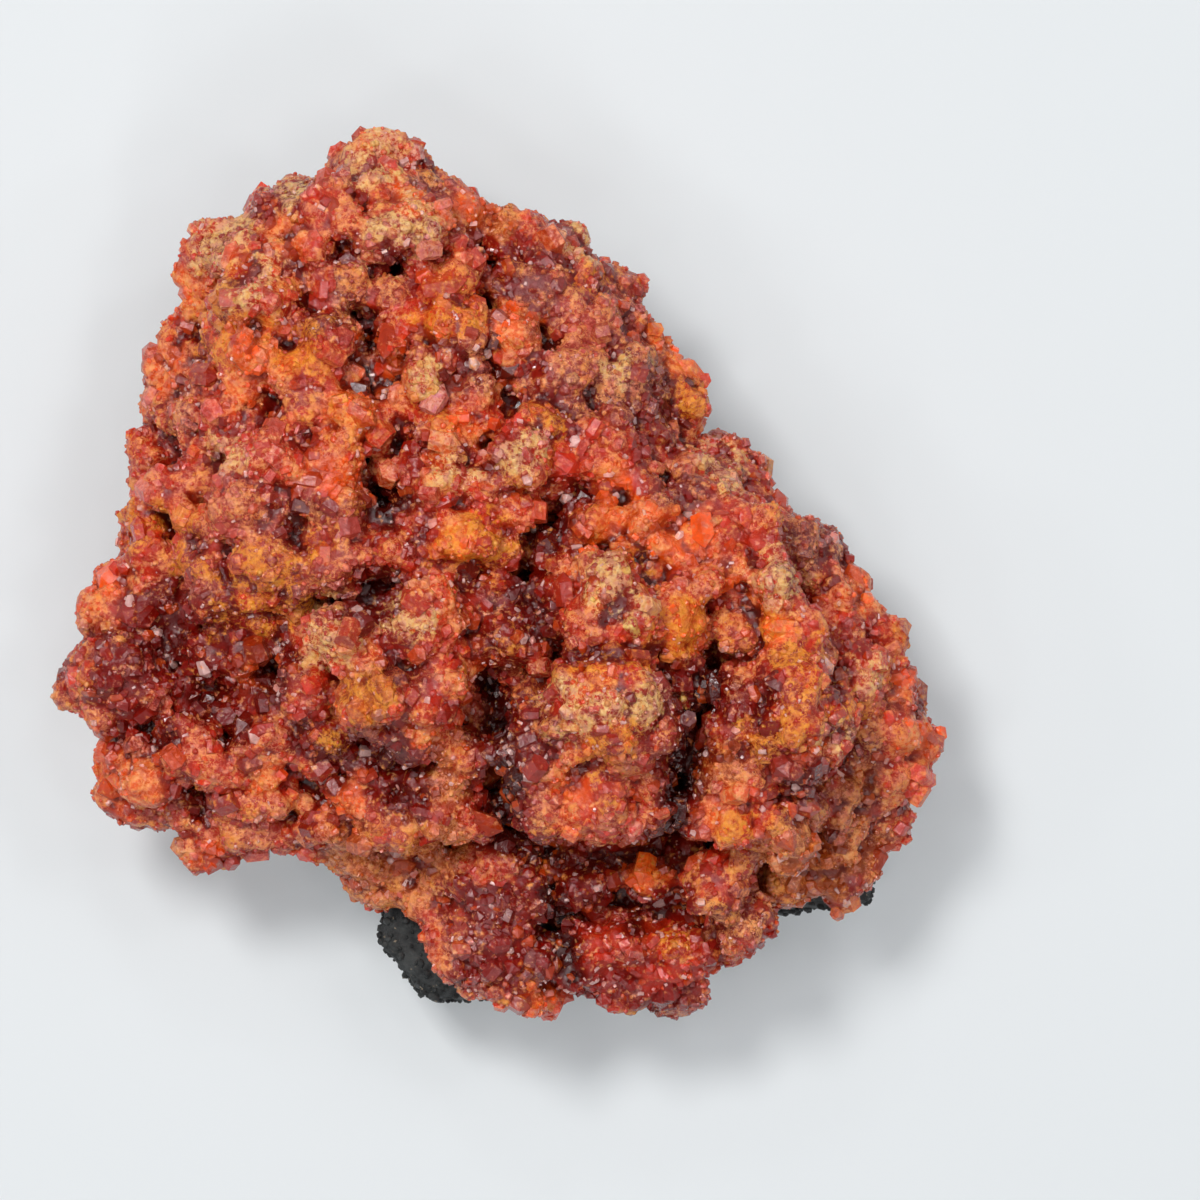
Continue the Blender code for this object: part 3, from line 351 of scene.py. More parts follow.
def domes(points, size, offset):
    """Rounded nodules packed side by side: their height from 0 in the creases to 1, the middle of each
    point's own nodule, and how far the point is from the crease around it."""
    shift = Vector((offset, offset * 1.7, offset * 0.3))
    heights = np.empty(len(points))
    middles = np.empty((len(points), 3))
    gaps = np.empty(len(points))
    for i, point in enumerate((points / size).tolist()):
        distances, seeds = noise.voronoi(Vector(point) + shift)
        own = 0.55 + 0.45 * noise.cell(seeds[0] * 7.3)
        heights[i] = own * math.sqrt(max(0.0, 1.0 - (distances[0] / NODULE_REACH) ** 2))
        middles[i] = seeds[0] - shift
        gaps[i] = distances[1] - distances[0]
    return heights, middles * size, gaps


def own_share(middles, offset):
    """A chance number from -1 to 1 for each nodule."""
    return np.array([noise.cell(Vector(middle)) for middle in (middles * 5.17 + offset).tolist()])


def smooth_step(low, high, values):
    share = np.clip((values - low) / (high - low), 0.0, 1.0)
    return share * share * (3 - 2 * share)


# Colour of the crust

def in_hollow(points, hollow, wider=1.0):
    """1 along the middle of a hollow seen from above, falling to 0 at its sides."""
    x, y, length, width, heading, _ = hollow
    away = points[:, :2] - (x, y)
    angle = math.radians(heading)
    along = away @ (math.cos(angle), math.sin(angle))
    across = away @ (-math.sin(angle), math.cos(angle))
    across = across + 0.12 * width * np.sin(along * 2.3 + x) + 0.08 * width * np.sin(along * 5.1 + y)
    reach = 0.75 * wider * width
    beyond = np.maximum(np.abs(along) - max(0.0, (length - width) / 2), 0.0)
    return 1.0 - smooth_step(0.25, 1.0, np.hypot(beyond, across) / reach)


class Colours:
    """The crust's colours at its points: the ground, and the frosting that lies on it in specks."""

    def __init__(self, count):
        self.ground = np.tile(LINEAR["coral"], (count, 1))
        self.frosting = np.tile(LINEAR["peach"], (count, 1))
        self.amount = np.full(count, FROSTED["coral"])

    def lay(self, name, weight):
        """Moves ground or frosting towards one of the palette's colours by each point's weight."""
        weight = np.clip(weight, 0.0, 1.0)
        if name in FROSTINGS:
            self.frosting += np.minimum(1.0, 1.6 * weight)[:, None] * (LINEAR[name] - self.frosting)
            self.amount += weight * (FROSTINGS[name] - self.amount)
        else:
            self.ground += weight[:, None] * (LINEAR[name] - self.ground)
            self.amount += weight * (FROSTED[name] - self.amount)

    def at(self, corners, shares):
        made = Colours(len(corners))
        made.ground = at_places(self.ground, corners, shares)
        made.frosting = at_places(self.frosting, corners, shares)
        made.amount = at_places(self.amount, corners, shares)
        return made

    def kept(self, keep):
        made = Colours(0)
        made.ground, made.frosting, made.amount = self.ground[keep], self.frosting[keep], self.amount[keep]
        return made

    def store(self, mesh, times=1):
        """Stores the ground as the attribute tint, and the frosting with its amount as frosting."""
        whole = np.ones(len(self.amount))
        for name, colour, alpha in (("tint", self.ground, whole), ("frosting", self.frosting, self.amount)):
            layer = mesh.color_attributes.new(name, "FLOAT_COLOR", "POINT")
            values = np.concatenate([np.clip(colour, 0, 1), np.clip(alpha, 0, 1)[:, None]], axis=1)
            layer.data.foreach_set("color", np.repeat(values, times, axis=0).astype(np.float32).ravel())


def crust_colours(points, normals, crest, swell, middles, gaps):
    """Colours of the crust. crest is the fine relief, swell the broad one, in millimetres. A lump keeps to
    one colour. Creases, crevices and hollows get painted shade in deep red and near black."""
    own = [own_share(middles, offset) for offset in (0.3, 7.1, 15.9)]
    look = 0.6 * middles + 0.4 * points
    broad = soft_noise(look, 4.6, 3.0) + 0.22 * own[0]
    other = soft_noise(look, 3.1, 41.0) + 0.22 * own[1]
    middle = soft_noise(points, 1.9, 12.0)
    fine = soft_noise(points, 0.75, 25.0)
    made = Colours(len(points))
    made.lay("deep_red", 0.75 * smooth_step(0.05, 0.4, broad + 0.15 * middle))
    made.lay("mauve", 0.45 * smooth_step(0.15, 0.45, other + 0.2 * fine))
    made.lay("rose", 0.6 * smooth_step(-0.05, 0.22, crest) * smooth_step(-0.2, 0.3, middle + 0.4 * own[2]))
    made.lay("orange", 0.75 * smooth_step(0.1, 0.45, 0.6 * middle - 0.7 * other))
    sides = 1.0 - smooth_step(0.0, 0.45, normals[:, 2])
    chance_ochre = smooth_step(0.05, 0.4, -broad + 0.3 * fine) * smooth_step(-0.1, 0.2, crest)
    made.lay("gold", chance_ochre * (0.45 + 0.4 * sides))
    open_sky = smooth_step(-0.35, 0.25, normals[:, 2]) * smooth_step(-1.2, -0.2, swell + crest)
    for name, spots in PATCHES.items():
        for x, y, radius in spots:
            away = np.hypot(look[:, 0] - x, look[:, 1] - y)
            near = away < radius * 1.9
            if not near.any():
                continue
            edge = (radius + 0.35) * (1.08 + 0.4 * middle[near] + 0.25 * fine[near]) - away[near]
            weight = np.zeros(len(points))
            weight[near] = smooth_step(-0.2, 0.5, edge / radius) * open_sky[near]
            made.lay(name, 0.92 * weight)
    made.amount = np.clip(made.amount + 0.12 * own[2] + 0.22 * fine + 0.30 * middle, 0.0, 0.62)
    for x, y, radius in GLASSY:
        inside = 1.0 - smooth_step(0.6, 1.1, np.hypot(look[:, 0] - x, look[:, 1] - y) / radius)
        made.amount *= 1.0 - 0.55 * inside
    # Painted shade: deep red laid in the fine hollows of the skin, where shade falls, with less frosting
    # there
    hollow = smooth_step(0.0, 0.26, -crest)
    made.lay("deep_red", 0.7 * hollow)
    made.amount *= 1.0 - 0.7 * hollow
    made.amount += 0.08 * smooth_step(0.05, 0.25, crest)
    # Painted shade: the creases between the lumps are painted deep red and near black
    crease = (1.0 - smooth_step(0.02, 0.22, gaps)) * smooth_step(-0.25, 0.35, soft_noise(points, 5.0, 63.0))
    crease *= smooth_step(-0.12, 0.08, -crest)
    made.lay("deep_red", crease)
    made.lay("dark", 0.5 * crease)
    # Painted shade: near black in the broad recesses of the crust
    made.lay("dark", 0.85 * smooth_step(0.3, 1.2, -swell - 0.6 * crest))
    # Painted shade along the listed crevices and hollows: deep red, with near black down the middle
    for hollow in HOLLOWS:
        made.lay("deep_red", 0.9 * in_hollow(points, hollow, 1.7))
        made.lay("dark", 0.85 * in_hollow(points, hollow, 1.05) * min(1.0, 0.5 * hollow[5]))
    return made


# Crystals

def crystal_form(sides, waist, taper, tip):
    """A closed crystal of unit width and length, from z 0 to 1: a tapered prism with or without a tip."""
    bm = bmesh.new()
    body = 1.0 - tip
    bmesh.ops.create_cone(
        bm, cap_ends=True, cap_tris=False, segments=sides,
        radius1=0.5 * waist, radius2=0.5 * taper, depth=body,
    )
    bmesh.ops.translate(bm, verts=bm.verts, vec=(0, 0, body / 2))
    if tip > 0:
        bm.normal_update()
        crown = max(bm.faces, key=lambda face: face.calc_center_median().z)
        bmesh.ops.poke(bm, faces=[crown], offset=tip)
    bmesh.ops.recalc_face_normals(bm, faces=bm.faces)
    bm.verts.index_update()
    points = np.array([vert.co for vert in bm.verts])
    faces = [[vert.index for vert in face.verts] for face in bm.faces]
    bm.free()
    return points, faces


def scatter(mesh, count, chance):
    """Chance places on a mesh, evenly over its area: the triangle's corners and the share of each."""
    mesh.calc_loop_triangles()
    corners = np.empty(len(mesh.loop_triangles) * 3, np.int32)
    mesh.loop_triangles.foreach_get("vertices", corners)
    corners = corners.reshape(-1, 3)
    points = points_of(mesh)
    a, b, c = (points[corners[:, i]] for i in range(3))
    areas = np.linalg.norm(np.cross(b - a, c - a), axis=1) / 2
    steps = np.cumsum(areas)
    picks = np.searchsorted(steps, (np.arange(count) + chance.random(count)) / count * steps[-1])
    shares = chance.random((count, 2))
    flip = shares.sum(axis=1) > 1
    shares[flip] = 1 - shares[flip]
    shares = np.column_stack([1 - shares.sum(axis=1), shares])
    return corners[picks], shares


def at_places(values, corners, shares):
    """Values at chance places, from those at the vertices."""
    picked = values[corners]
    if picked.ndim == 2:
        return (picked * shares).sum(axis=1)
    return (picked * shares[:, :, None]).sum(axis=1)


def unit(vectors):
    return vectors / np.maximum(np.linalg.norm(vectors, axis=1, keepdims=True), 1e-9)


def leaned(axes, degrees, chance):
    """Directions tilted away from the given ones by chance angles up to the given one."""
    sideways = unit(np.cross(axes, unit(chance.normal(size=axes.shape))))
    angles = np.radians(degrees) * np.sqrt(chance.random(len(axes)))
    return unit(axes * np.cos(angles)[:, None] + sideways * np.sin(angles)[:, None])


def crystals_mesh(name, form, places, axes, widths, lengths, sunk, chance):
    """One mesh of many crystals. Each stands on its axis, with a share of its length sunk in the ground."""
    points, faces = form
    count = len(places)
    spin = unit(np.cross(axes, unit(chance.normal(size=axes.shape))))
    other = np.cross(axes, spin)
    flatness = chance.uniform(0.78, 1.0, count)
    x = points[:, 0][None, :, None] * (widths * flatness)[:, None, None] * spin[:, None, :]
    y = points[:, 1][None, :, None] * widths[:, None, None] * other[:, None, :]
    z = (points[:, 2] - sunk)[None, :, None] * lengths[:, None, None] * axes[:, None, :]
    corners = (x + y + z + places[:, None, :]).reshape(-1, 3)
    loops = np.concatenate([np.array(face) for face in faces])
    sizes = np.array([len(face) for face in faces])
    starts = np.concatenate([[0], np.cumsum(sizes)[:-1]])
    all_loops = (loops[None, :] + (np.arange(count) * len(points))[:, None]).ravel()
    all_starts = (starts[None, :] + (np.arange(count) * len(loops))[:, None]).ravel()
    mesh = bpy.data.meshes.new(name)
    mesh.vertices.add(len(corners))
    mesh.vertices.foreach_set("co", (corners * MM).astype(np.float32).ravel())
    mesh.loops.add(len(all_loops))
    mesh.loops.foreach_set("vertex_index", all_loops.astype(np.int32))
    mesh.polygons.add(len(all_starts))
    mesh.polygons.foreach_set("loop_start", all_starts.astype(np.int32))
    mesh.update(calc_edges=True)
    return mesh, len(points)


def add_piece(mesh, name, material, smooth):
    made = bpy.data.objects.new(name, mesh)
    bpy.context.scene.collection.objects.link(made)
    return finished(made, material, smooth)


def finished(made, material, smooth):
    mesh = made.data
    mesh.materials.clear()
    mesh.materials.append(material)
    mesh.polygons.foreach_set("use_smooth", [smooth] * len(mesh.polygons))
    mesh.update()
    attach(made, "root")
    return made


# Finishes

class Finish:
    """A material that is built up node by node."""

    def __init__(self, name, **values):
        self.material = bpy.data.materials.new(name)
        self.material.use_nodes = True
        self.nodes = self.material.node_tree.nodes
        self.links = self.material.node_tree.links
        self.shader = self.nodes["Principled BSDF"]
        for socket, value in values.items():
            self.shader.inputs[socket.replace("_", " ")].default_value = value
        place = self.nodes.new("ShaderNodeTexCoord")
        self.place = place.outputs["Object"]

    def link(self, output, socket):
        self.links.new(output, socket)
        return output

    def noise(self, size, detail=2.0, roughness=0.5):
        node = self.nodes.new("ShaderNodeTexNoise")
        node.inputs["Scale"].default_value = 1.0 / (size * MM)
        node.inputs["Detail"].default_value = detail
        node.inputs["Roughness"].default_value = roughness
        self.link(self.place, node.inputs["Vector"])
        return node.outputs["Fac"]

    def cells(self, size, output="Distance"):
        node = self.nodes.new("ShaderNodeTexVoronoi")
        node.inputs["Scale"].default_value = 1.0 / (size * MM)
        self.link(self.place, node.inputs["Vector"])
        return node.outputs[output]

    def span(self, value, low, high, to_low=0.0, to_high=1.0):
        node = self.nodes.new("ShaderNodeMapRange")
        for socket, number in zip(("From Min", "From Max", "To Min", "To Max"), (low, high, to_low, to_high)):
            node.inputs[socket].default_value = number
        self.link(value, node.inputs["Value"])
        return node.outputs["Result"]

    def sum(self, operation, first, second):
        node = self.nodes.new("ShaderNodeMath")
        node.operation = operation
        for socket, value in zip(node.inputs, (first, second)):
            if isinstance(value, float):
                socket.default_value = value
            else:
                self.link(value, socket)
        return node.outputs[0]

    def mix(self, share, first, second, kind="MIX"):
        node = self.nodes.new("ShaderNodeMix")
        node.data_type = "RGBA"
        node.blend_type = kind
        for socket, value in ((node.inputs[0], share), (node.inputs[6], first), (node.inputs[7], second)):
            if isinstance(value, (float, tuple)):
                socket.default_value = value
            else:
                self.link(value, socket)
        return node.outputs[2]

    def times(self, colour, red, green, blue):
        return self.mix(1.0, colour, (red, green, blue, 1.0), "MULTIPLY")

    def attribute(self, name):
        node = self.nodes.new("ShaderNodeAttribute")
        node.attribute_name = name
        return node.outputs["Color"], node.outputs["Alpha"]

    def bump(self, height, strength, distance):
        node = self.nodes.new("ShaderNodeBump")
        node.inputs["Distance"].default_value = distance * MM
        if isinstance(strength, float):
            node.inputs["Strength"].default_value = strength
        else:
            self.link(strength, node.inputs["Strength"])
        self.link(height, node.inputs["Height"])
        self.link(node.outputs["Normal"], self.shader.inputs["Normal"])


def crust_finish(name, clean_roughness, frosty_roughness, **values):
    """Glassy where it is clean, dull and pale where it is frosted over."""
    made = Finish(name, **values)
    ground = made.attribute("tint")
    frosting = made.attribute("frosting")
    amount = frosting[1]
    blotch = made.span(made.noise(0.8, 3.0, 0.6), 0.36, 0.66)
    ground = made.mix(blotch, made.times(ground[0], 1.2, 1.15, 1.05), made.times(ground[0], 0.84, 0.70, 0.62))
    speck = made.sum("ADD", made.noise(0.5, 4.0, 0.58), made.sum("MULTIPLY", amount, 0.32))
    speck = made.span(speck, 0.59, 0.75)
    vein = made.sum("ABSOLUTE", made.sum("SUBTRACT", made.noise(0.55, 4.0, 0.6), 0.5), 0.0)
    vein = made.sum("MULTIPLY", made.span(vein, 0.035, 0.008), made.span(amount, 0.15, 0.5))
    speck = made.sum("MAXIMUM", speck, vein)
    warm = made.span(made.noise(0.32, 4.0, 0.7), 0.36, 0.64)
    light, deep = made.times(frosting[0], 1.06, 1.12, 1.25), made.times(frosting[0], 0.94, 0.68, 0.42)
    pale = made.mix(warm, light, deep)
    rosy = made.span(made.noise(0.8, 3.0, 0.6), 0.47, 0.60)
    pale = made.mix(made.sum("MULTIPLY", rosy, 0.7), pale, made.times(frosting[0], 0.80, 0.44, 0.85))
    colour = made.mix(made.sum("MULTIPLY", speck, 0.78), ground, pale)
    made.link(colour, made.shader.inputs["Base Color"])
    made.link(made.span(speck, 0.0, 1.0, clean_roughness, frosty_roughness), made.shader.inputs["Roughness"])
    height = made.sum("ADD", made.noise(0.2, 3.0, 0.7), made.sum("MULTIPLY", made.cells(0.38), 0.7))
    made.bump(height, made.span(amount, 0.0, 0.7, 0.35, 1.0), 0.17)
    return made.material


def rock_finish():
    made = Finish("rock", IOR=1.5)
    cloud = made.span(made.noise(1.1, 4.0, 0.6), 0.35, 0.65)
    colour = made.mix(cloud, (0.008, 0.009, 0.010, 1), (0.050, 0.054, 0.054, 1))
    specks = made.span(made.noise(0.45, 2.0, 0.5), 0.68, 0.74)
    colour = made.mix(specks, colour, (0.30, 0.24, 0.17, 1))
    made.link(colour, made.shader.inputs["Base Color"])
    made.link(made.span(made.noise(0.7), 0.3, 0.7, 0.42, 0.85), made.shader.inputs["Roughness"])
    made.bump(made.noise(0.32, 4.0, 0.7), 0.9, 0.25)
    return made.material


graph = bpy.context.evaluated_depsgraph_get()
rock_tree = bvhtree.BVHTree.FromObject(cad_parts["matrix"], graph)
crust_tree = bvhtree.BVHTree.FromObject(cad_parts["zincite_crust"], graph)


def clear_of(tree, places, reach):
    """How far places are from a solid, as shares of a reach in millimetres, and 1 beyond it."""
    shares = np.ones(len(places))
    for i, place in enumerate((places * MM).tolist()):
        distance = tree.find_nearest(place, reach * MM)[3]
        if distance is not None:
            shares[i] = distance / (reach * MM)
    return shares


def grown_widths(count, widths, pull, chance):
    return widths[0] + (widths[1] - widths[0]) * chance.random(count) ** pull


def knubs_on(mesh, swell, chance):
    """Blunt knubs that stand out of the skin at all angles, except in its crevices, as one mesh."""
    corners, shares = scatter(mesh, KNUBS, chance)
    places = at_places(points_of(mesh), corners, shares)
    ways = unit(at_places(normals_of(mesh), corners, shares))
    widths = grown_widths(KNUBS, KNUB_SIZES, 1.7, chance)
    keep = (clear_of(rock_tree, places, 2.4) * 2.4 > 0.6 + 0.6 * widths) & (ways[:, 2] > -0.95)
    keep &= at_places(swell, corners, shares) > KNUB_LEAST_SWELL
    places, ways, widths = places[keep], ways[keep], widths[keep]
    places -= ways * (0.12 * widths)[:, None]
    around = np.radians(np.arange(0, 360, 30))
    extra = list(GAP_CRYSTALS)
    for x, y, width in FILLERS:
        ring = [Vector(((x + 1.6 * math.cos(a)) * MM, (y + 1.6 * math.sin(a)) * MM, 0.1)) for a in around]
        hits = [crust_tree.ray_cast(spot, Vector((0, 0, -1)))[0] for spot in ring]
        heights = [hit.z / MM for hit in hits if hit is not None]
        extra.append((x, y, float(np.percentile(heights, 62)) - 0.5 * width, width))
    extra = np.array(extra)
    places = np.concatenate([places, extra[:, :3]])
    ways = np.concatenate([ways, np.tile([0.0, 0.0, 1.0], (len(extra), 1))])
    widths = np.concatenate([widths, extra[:, 3]])
    return crystals_mesh(
        "knubs", crystal_form(6, 0.8, 0.95, 0.3), places, leaned(ways, KNUB_TILT, chance), widths,
        widths * chance.uniform(0.8, 1.25, len(widths)), 0.5, chance,
    )[0]


# The crust's skin
skin = merged_copy("zincite_crust", "crust_skin")
remesh(skin, SKIN_VOXEL)
edges = edges_of(skin.data)
points = softened(points_of(skin.data), edges, SKIN_ROUNDS)
set_points(skin.data, points)
normals = normals_of(skin.data)
swell = ((points - eased(points, edges, BROAD_ROUNDS)) * normals).sum(axis=1)
drawn = SKIN_DRAWN_IN + CREVICE_DEPTH * np.clip(-swell - CREVICE_START, 0.0, 1.2)
room = smooth_step(0.35, 1.0, clear_of(rock_tree, points, 2.6))
points -= normals * (drawn * room)[:, None]
set_points(skin.data, points)
knubs = knubs_on(skin.data, swell, np.random.default_rng(3))
bm = bmesh.new()
bm.from_mesh(skin.data)
bm.from_mesh(knubs)
bm.to_mesh(skin.data)
bm.free()
remesh(skin, SKIN_VOXEL)
edges = edges_of(skin.data)
points = softened(points_of(skin.data), edges, 1)
set_points(skin.data, points)
normals = normals_of(skin.data)
lumps, lump_middles, lump_gaps = domes(points, LUMPS[0], LUMPS[2])
bumps = domes(points, BUMPS[0], BUMPS[2])[0]
lumps *= 0.35 + 0.65 * smooth_step(0.0, 0.25, lump_gaps)
rise = SKIN_RAISED + LUMPS[1] * (lumps - lumps.mean()) + BUMPS[1] * (bumps - bumps.mean())
points += normals * (rise * smooth_step(0.4, 1.0, clear_of(rock_tree, points, 1.5)))[:, None]
set_points(skin.data, points)
normals = normals_of(skin.data)
room = smooth_step(0.3, 1.0, clear_of(rock_tree, points, 2.2)) * smooth_step(0.0, 0.4, normals[:, 2])
sunken = np.zeros(len(points))
for hollow in HOLLOWS:
    sunken = np.maximum(sunken, hollow[5] * in_hollow(points, hollow) * room)
for i in np.flatnonzero(sunken > 0.02):
    hit = crust_tree.ray_cast(Vector(points[i] * MM) - Vector((0, 0, 0.8 * MM)), Vector((0, 0, -1)))[3]
    sunken[i] = min(sunken[i], 0.4 * (hit / MM if hit is not None else 0.0))
points[:, 2] -= eased(sunken[:, None], edges, 2)[:, 0]
points = softened(points, edges, 1)
points[:, 2] -= 0.75 * np.maximum(points[:, 2] - HIGHEST, 0.0)
set_points(skin.data, points)
normals = normals_of(skin.data)
fine_smooth = eased(points, edges, FINE_ROUNDS)
broad_smooth = eased(fine_smooth, edges, BROAD_ROUNDS)
crest = ((points - fine_smooth) * normals).sum(axis=1)
swell = ((points - broad_smooth) * normals).sum(axis=1)
colours = crust_colours(points, normals, crest, swell, lump_middles, lump_gaps)
colours.store(skin.data)

RED_DEPTH = (1.0, 0.25, 0.08)
skin_finish = crust_finish(
    "zincite_skin", 0.12, 0.24, IOR=1.52,
    Subsurface_Weight=0.15, Subsurface_Radius=RED_DEPTH, Subsurface_Scale=0.6 * MM,
)
grain_finish = crust_finish("zincite_grains", 0.08, 0.22, IOR=1.75)
glint_finish = crust_finish("zincite_glints", 0.06, 0.16, IOR=2.0)
clear_finish = crust_finish("zincite_crystals", 0.09, 0.3, IOR=1.75, Transmission_Weight=0.15)

finished(skin, skin_finish, True)
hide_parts("zincite_crust")


def grow_druse(name, form, settings, seed, finish, smooth=False, painted_glint_share=0.02):
    """Scatters one size of crystals over the crust, turned all ways and mostly sunk in it. A share of them
    gets a pale painted glint tint.
    """
    count, width_range, slender_range, sunk, pull, (on_clean, on_frosted) = settings
    chance = np.random.default_rng(seed)
    corners, shares = scatter(skin.data, count * 3, chance)
    places = at_places(points, corners, shares)
    ways = unit(at_places(normals, corners, shares))
    tints = colours.at(corners, shares)
    keep = (clear_of(rock_tree, places, ROCK_CLEARANCE) >= 1.0) & (ways[:, 2] > -0.9)
    frosted = smooth_step(0.2, 0.5, tints.amount)
    often = np.where(ways[:, 2] > 0.1, 1.0, 0.55) * (on_clean + (on_frosted - on_clean) * frosted)
    keep &= chance.random(len(places)) < often
    chosen = np.sort(chance.permutation(np.flatnonzero(keep))[:count])
    places, ways, tints = places[chosen], ways[chosen], tints.kept(chosen)
    count = len(places)
    widths = grown_widths(count, width_range, pull, chance) * (1.0 - 0.25 * tints.amount)
    lengths = widths * chance.uniform(*slender_range, count)
    axes = leaned(ways, 88, chance)
    low = places[:, 2] + 0.6 * widths < HIGHEST + 0.5
    places, axes, widths, lengths, tints = places[low], axes[low], widths[low], lengths[low], tints.kept(low)
    count = len(places)
    mesh, corners_each = crystals_mesh(name, form, places, axes, widths, lengths, sunk, chance)
    tints.ground *= chance.uniform(0.95, 1.35, count)[:, None]
    # Painted glints: this share of the crystals is tinted near white, to stand for facets that catch the
    # light
    pale = (chance.random(count) < painted_glint_share)[:, None]
    tints.ground = np.where(pale, 0.35 * tints.ground + 0.65 * LINEAR["painted_glint_pale"], tints.ground)
    glow = (chance.random(count) < 0.10)[:, None]
    tints.ground = np.where(glow, 0.6 * tints.ground + 0.4 * LINEAR["orange"], tints.ground)
    spread = [chance.uniform(low, high, count) for low, high in ((0.85, 1.0), (0.6, 1.0), (0.5, 1.3))]
    tints.frosting *= np.column_stack(spread)
    tints.amount *= chance.uniform(0.3, 1.5, count)
    tints.store(mesh, corners_each)
    return add_piece(mesh, name, finish, smooth)


def granule_form():
    bm = bmesh.new()
    bmesh.ops.create_icosphere(bm, subdivisions=1, radius=0.5)
    bmesh.ops.translate(bm, verts=bm.verts, vec=(0, 0, 0.5))
    points = np.array([vert.co for vert in bm.verts])
    faces = [[vert.index for vert in face.verts] for face in bm.faces]
    bm.free()
    return points, faces


grow_druse("druse_frost", granule_form(), FROST_GRAINS, 5, grain_finish, True)
grow_druse("druse_fine", crystal_form(5, 0.95, 0.7, 0.0), FINE_GRAINS, 6, grain_finish, painted_glint_share=0.06)
# Most of these glint crystals are glossy and also get the painted near white glint tint
grow_druse("druse_glints", crystal_form(5, 0.95, 0.7, 0.0), GLINTS, 9, glint_finish, painted_glint_share=0.6)
grow_druse("druse_middle", crystal_form(6, 0.8, 0.95, 0.3), MID_GRAINS, 7, grain_finish, painted_glint_share=0.04)
grow_druse("druse_large", crystal_form(6, 0.9, 1.0, 0.3), LARGE_GRAINS, 8, grain_finish, painted_glint_share=0.0)

standing = np.array(STANDING_CRYSTALS)
tips, lengths, widths = standing[:, :3], standing[:, 3], standing[:, 4]
turned, tilted = np.radians(standing[:, 5]), np.radians(standing[:, 6])
axes = np.column_stack([np.sin(tilted) * np.cos(turned), np.sin(tilted) * np.sin(turned), np.cos(tilted)])
rise = np.maximum(STANDING_TIP * lengths * np.cos(tilted), widths / 2 * np.sin(tilted))
places = tips - np.column_stack([0 * rise, 0 * rise, rise])
mesh, corners_each = crystals_mesh(
    "standing", crystal_form(6, 0.96, 1.0, 0.26), places, axes, widths * 1.08, lengths * 0.86, 0.58,
    np.random.default_rng(12),
)
nearest = np.array([np.argmin(((points - place) ** 2).sum(axis=1)) for place in places])
tints = colours.kept(nearest)
tints.ground = 0.4 * tints.ground + 0.35 * LINEAR["coral"] + 0.25 * LINEAR["orange"]
tints.amount = 0.35 * tints.amount
tints.store(mesh, corners_each)
add_piece(mesh, "standing_crystals", clear_finish, False)


# The rock
rock = merged_copy("matrix", "rock_skin")
remesh(rock, ROCK_VOXEL)
rock_edges = edges_of(rock.data)
rock_points = points_of(rock.data)
rock_normals = normals_of(rock.data)
above = smooth_step(0.3, 1.2, rock_points[:, 2])
rock_rise = 0.30 * (domes(rock_points, 1.3, 71.0)[0] - 0.5) + 0.16 * soft_noise(rock_points, 0.8, 80.0)
rock_points = rock_points + rock_normals * (rock_rise * above)[:, None]
set_points(rock.data, rock_points)
rock_material = rock_finish()
finished(rock, rock_material, True)
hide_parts("matrix")


chance = np.random.default_rng(ROCK_SEED)
corners, shares = scatter(rock.data, ROCK_GRANULES * 3, chance)
places = at_places(rock_points, corners, shares)
ways = unit(at_places(normals_of(rock.data), corners, shares))
keep = (clear_of(crust_tree, places, 0.55) >= 1.0) & (places[:, 2] > 0.7)
places, ways = places[keep], ways[keep]
widths = grown_widths(len(places), ROCK_GRANULE_SIZES, 2, chance)
axes = leaned(ways, 40, chance)
lengths = widths * chance.uniform(0.8, 1.1, len(places))
mesh, _ = crystals_mesh("rock_granules", granule_form(), places, axes, widths, lengths, 0.4, chance)
add_piece(mesh, "rock_granules", rock_material, True)


# Floor, light and camera

def area_light(name, place, size, power, colour):
    light = bpy.data.lights.new(name, "AREA")
    light.shape = "SQUARE"
    light.size = size
    light.energy = power
    light.color = colour
    made = bpy.data.objects.new(name, light)
    made.location = place
    made.rotation_euler = (Vector((0.0, 0.0, 0.01)) - Vector(place)).to_track_quat("-Z", "Y").to_euler()
    bpy.context.scene.collection.objects.link(made)


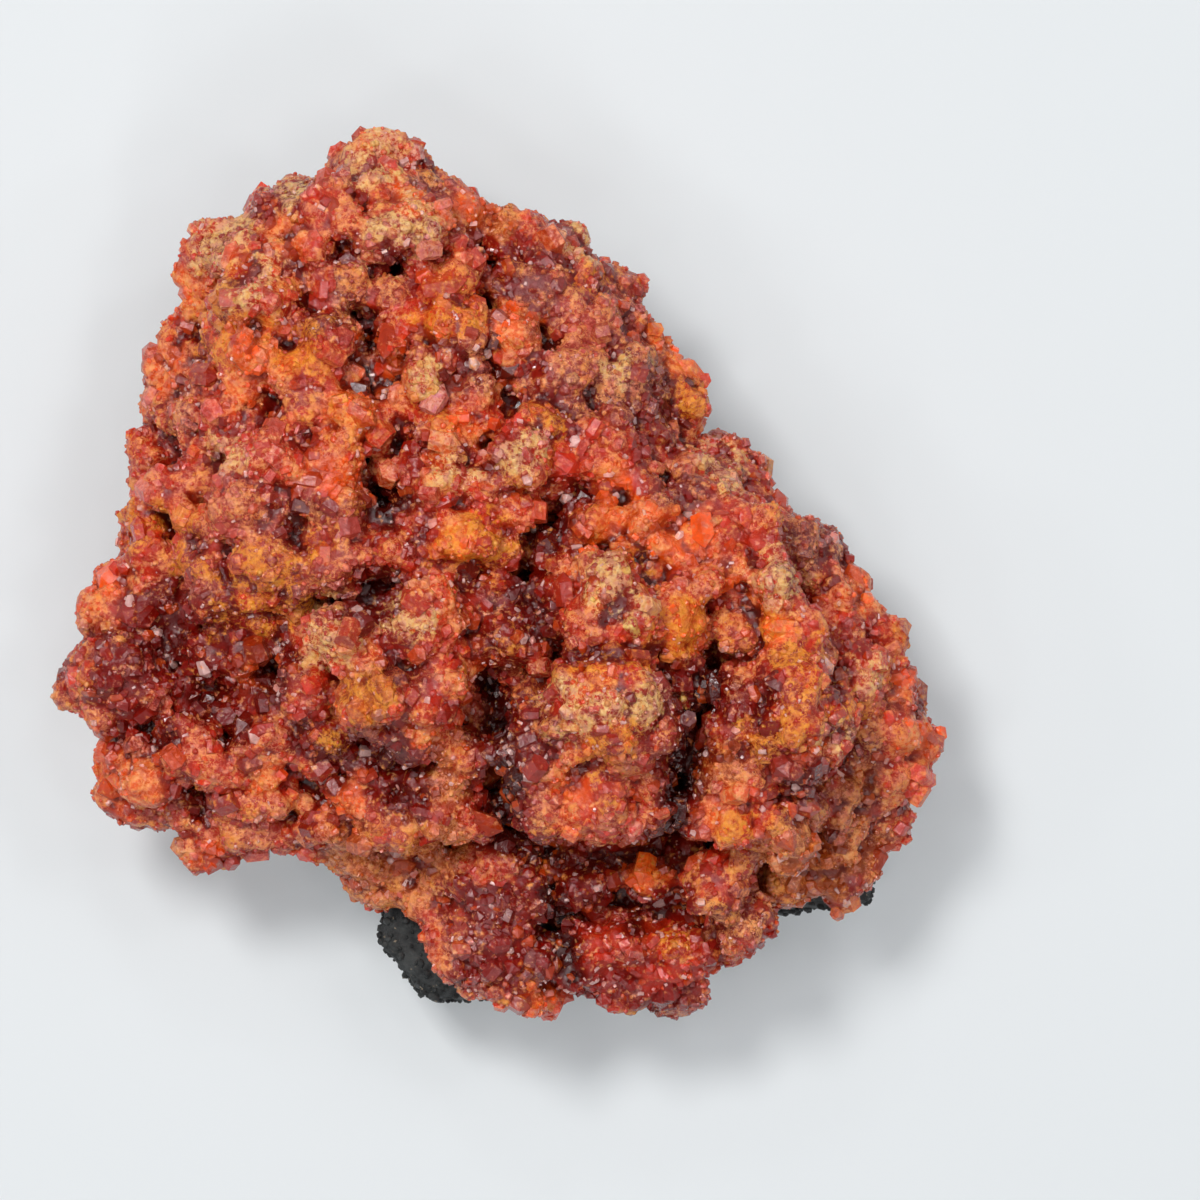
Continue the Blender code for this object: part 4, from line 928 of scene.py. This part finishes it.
area_light("key_softbox", (-0.22, 0.25, 0.68), 0.17, 2.95, (1.0, 0.985, 0.96))
for number, around in enumerate((35, 275)):
    turn = math.radians(around)
    place = (SIDE_REACH * math.cos(turn), SIDE_REACH * math.sin(turn), SIDE_HEIGHT)
    area_light(f"side_softbox_{number}", place, 0.30, 0.40, (0.97, 0.985, 1.0))
for number in range(SPARKS):
    up = math.radians(48 + 13 * (number % 3))
    around = math.radians(30 * number + 9 * (number % 2))
    level = SPARK_REACH * math.cos(up)
    place = (level * math.cos(around), level * math.sin(around), SPARK_REACH * math.sin(up))
    area_light(f"spark_{number}", place, 0.07, 0.17, (1.0, 1.0, 1.0))
world = bpy.data.worlds.new("pale_room")
world.use_nodes = True
room_nodes = world.node_tree.nodes
room_links = world.node_tree.links
heading = room_nodes.new("ShaderNodeTexCoord")
upward = room_nodes.new("ShaderNodeSeparateXYZ")
gentle = room_nodes.new("ShaderNodeMapRange")
gentle.inputs["From Min"].default_value = 0.80
gentle.inputs["From Max"].default_value = 0.98
gentle.inputs["To Min"].default_value = 0.20
gentle.inputs["To Max"].default_value = 0.08
room_links.new(heading.outputs["Generated"], upward.inputs["Vector"])
room_links.new(upward.outputs["Z"], gentle.inputs["Value"])
room_links.new(gentle.outputs["Result"], room_nodes["Background"].inputs["Strength"])
room_nodes["Background"].inputs["Color"].default_value = (0.95, 0.98, 1.0, 1.0)
bpy.context.scene.world = world
bpy.context.scene.view_settings.view_transform = "Standard"
bounces = bpy.context.scene.cycles
bounces.max_bounces = 5
bounces.diffuse_bounces = 3
bounces.glossy_bounces = 2
bounces.transmission_bounces = 4

bm = bmesh.new()
bmesh.ops.create_grid(bm, x_segments=1, y_segments=1, size=3.0)
mesh = bpy.data.meshes.new("floor")
bm.to_mesh(mesh)
bm.free()
floor = bpy.data.objects.new("floor", mesh)
bpy.context.scene.collection.objects.link(floor)
floor_finish = Finish(
    "floor", Roughness=0.9, Emission_Color=(0.79, 0.83, 0.85, 1.0), Emission_Strength=0.20,
    Specular_IOR_Level=0.1,
)
floor_finish.link(
    floor_finish.mix(floor_finish.noise(40.0), (0.595, 0.62, 0.64, 1), (0.60, 0.625, 0.645, 1)),
    floor_finish.shader.inputs["Base Color"],
)
floor.data.materials.append(floor_finish.material)

camera_data = bpy.data.cameras.new("camera")
camera_data.sensor_width = 36.0
camera_data.lens = CAMERA_LENS
camera_data.clip_start = 0.01
camera_data.clip_end = 10.0
camera = bpy.data.objects.new("camera", camera_data)
camera.location = Vector(CAMERA_PLACE) * MM
bpy.context.scene.collection.objects.link(camera)
bpy.context.scene.camera = camera
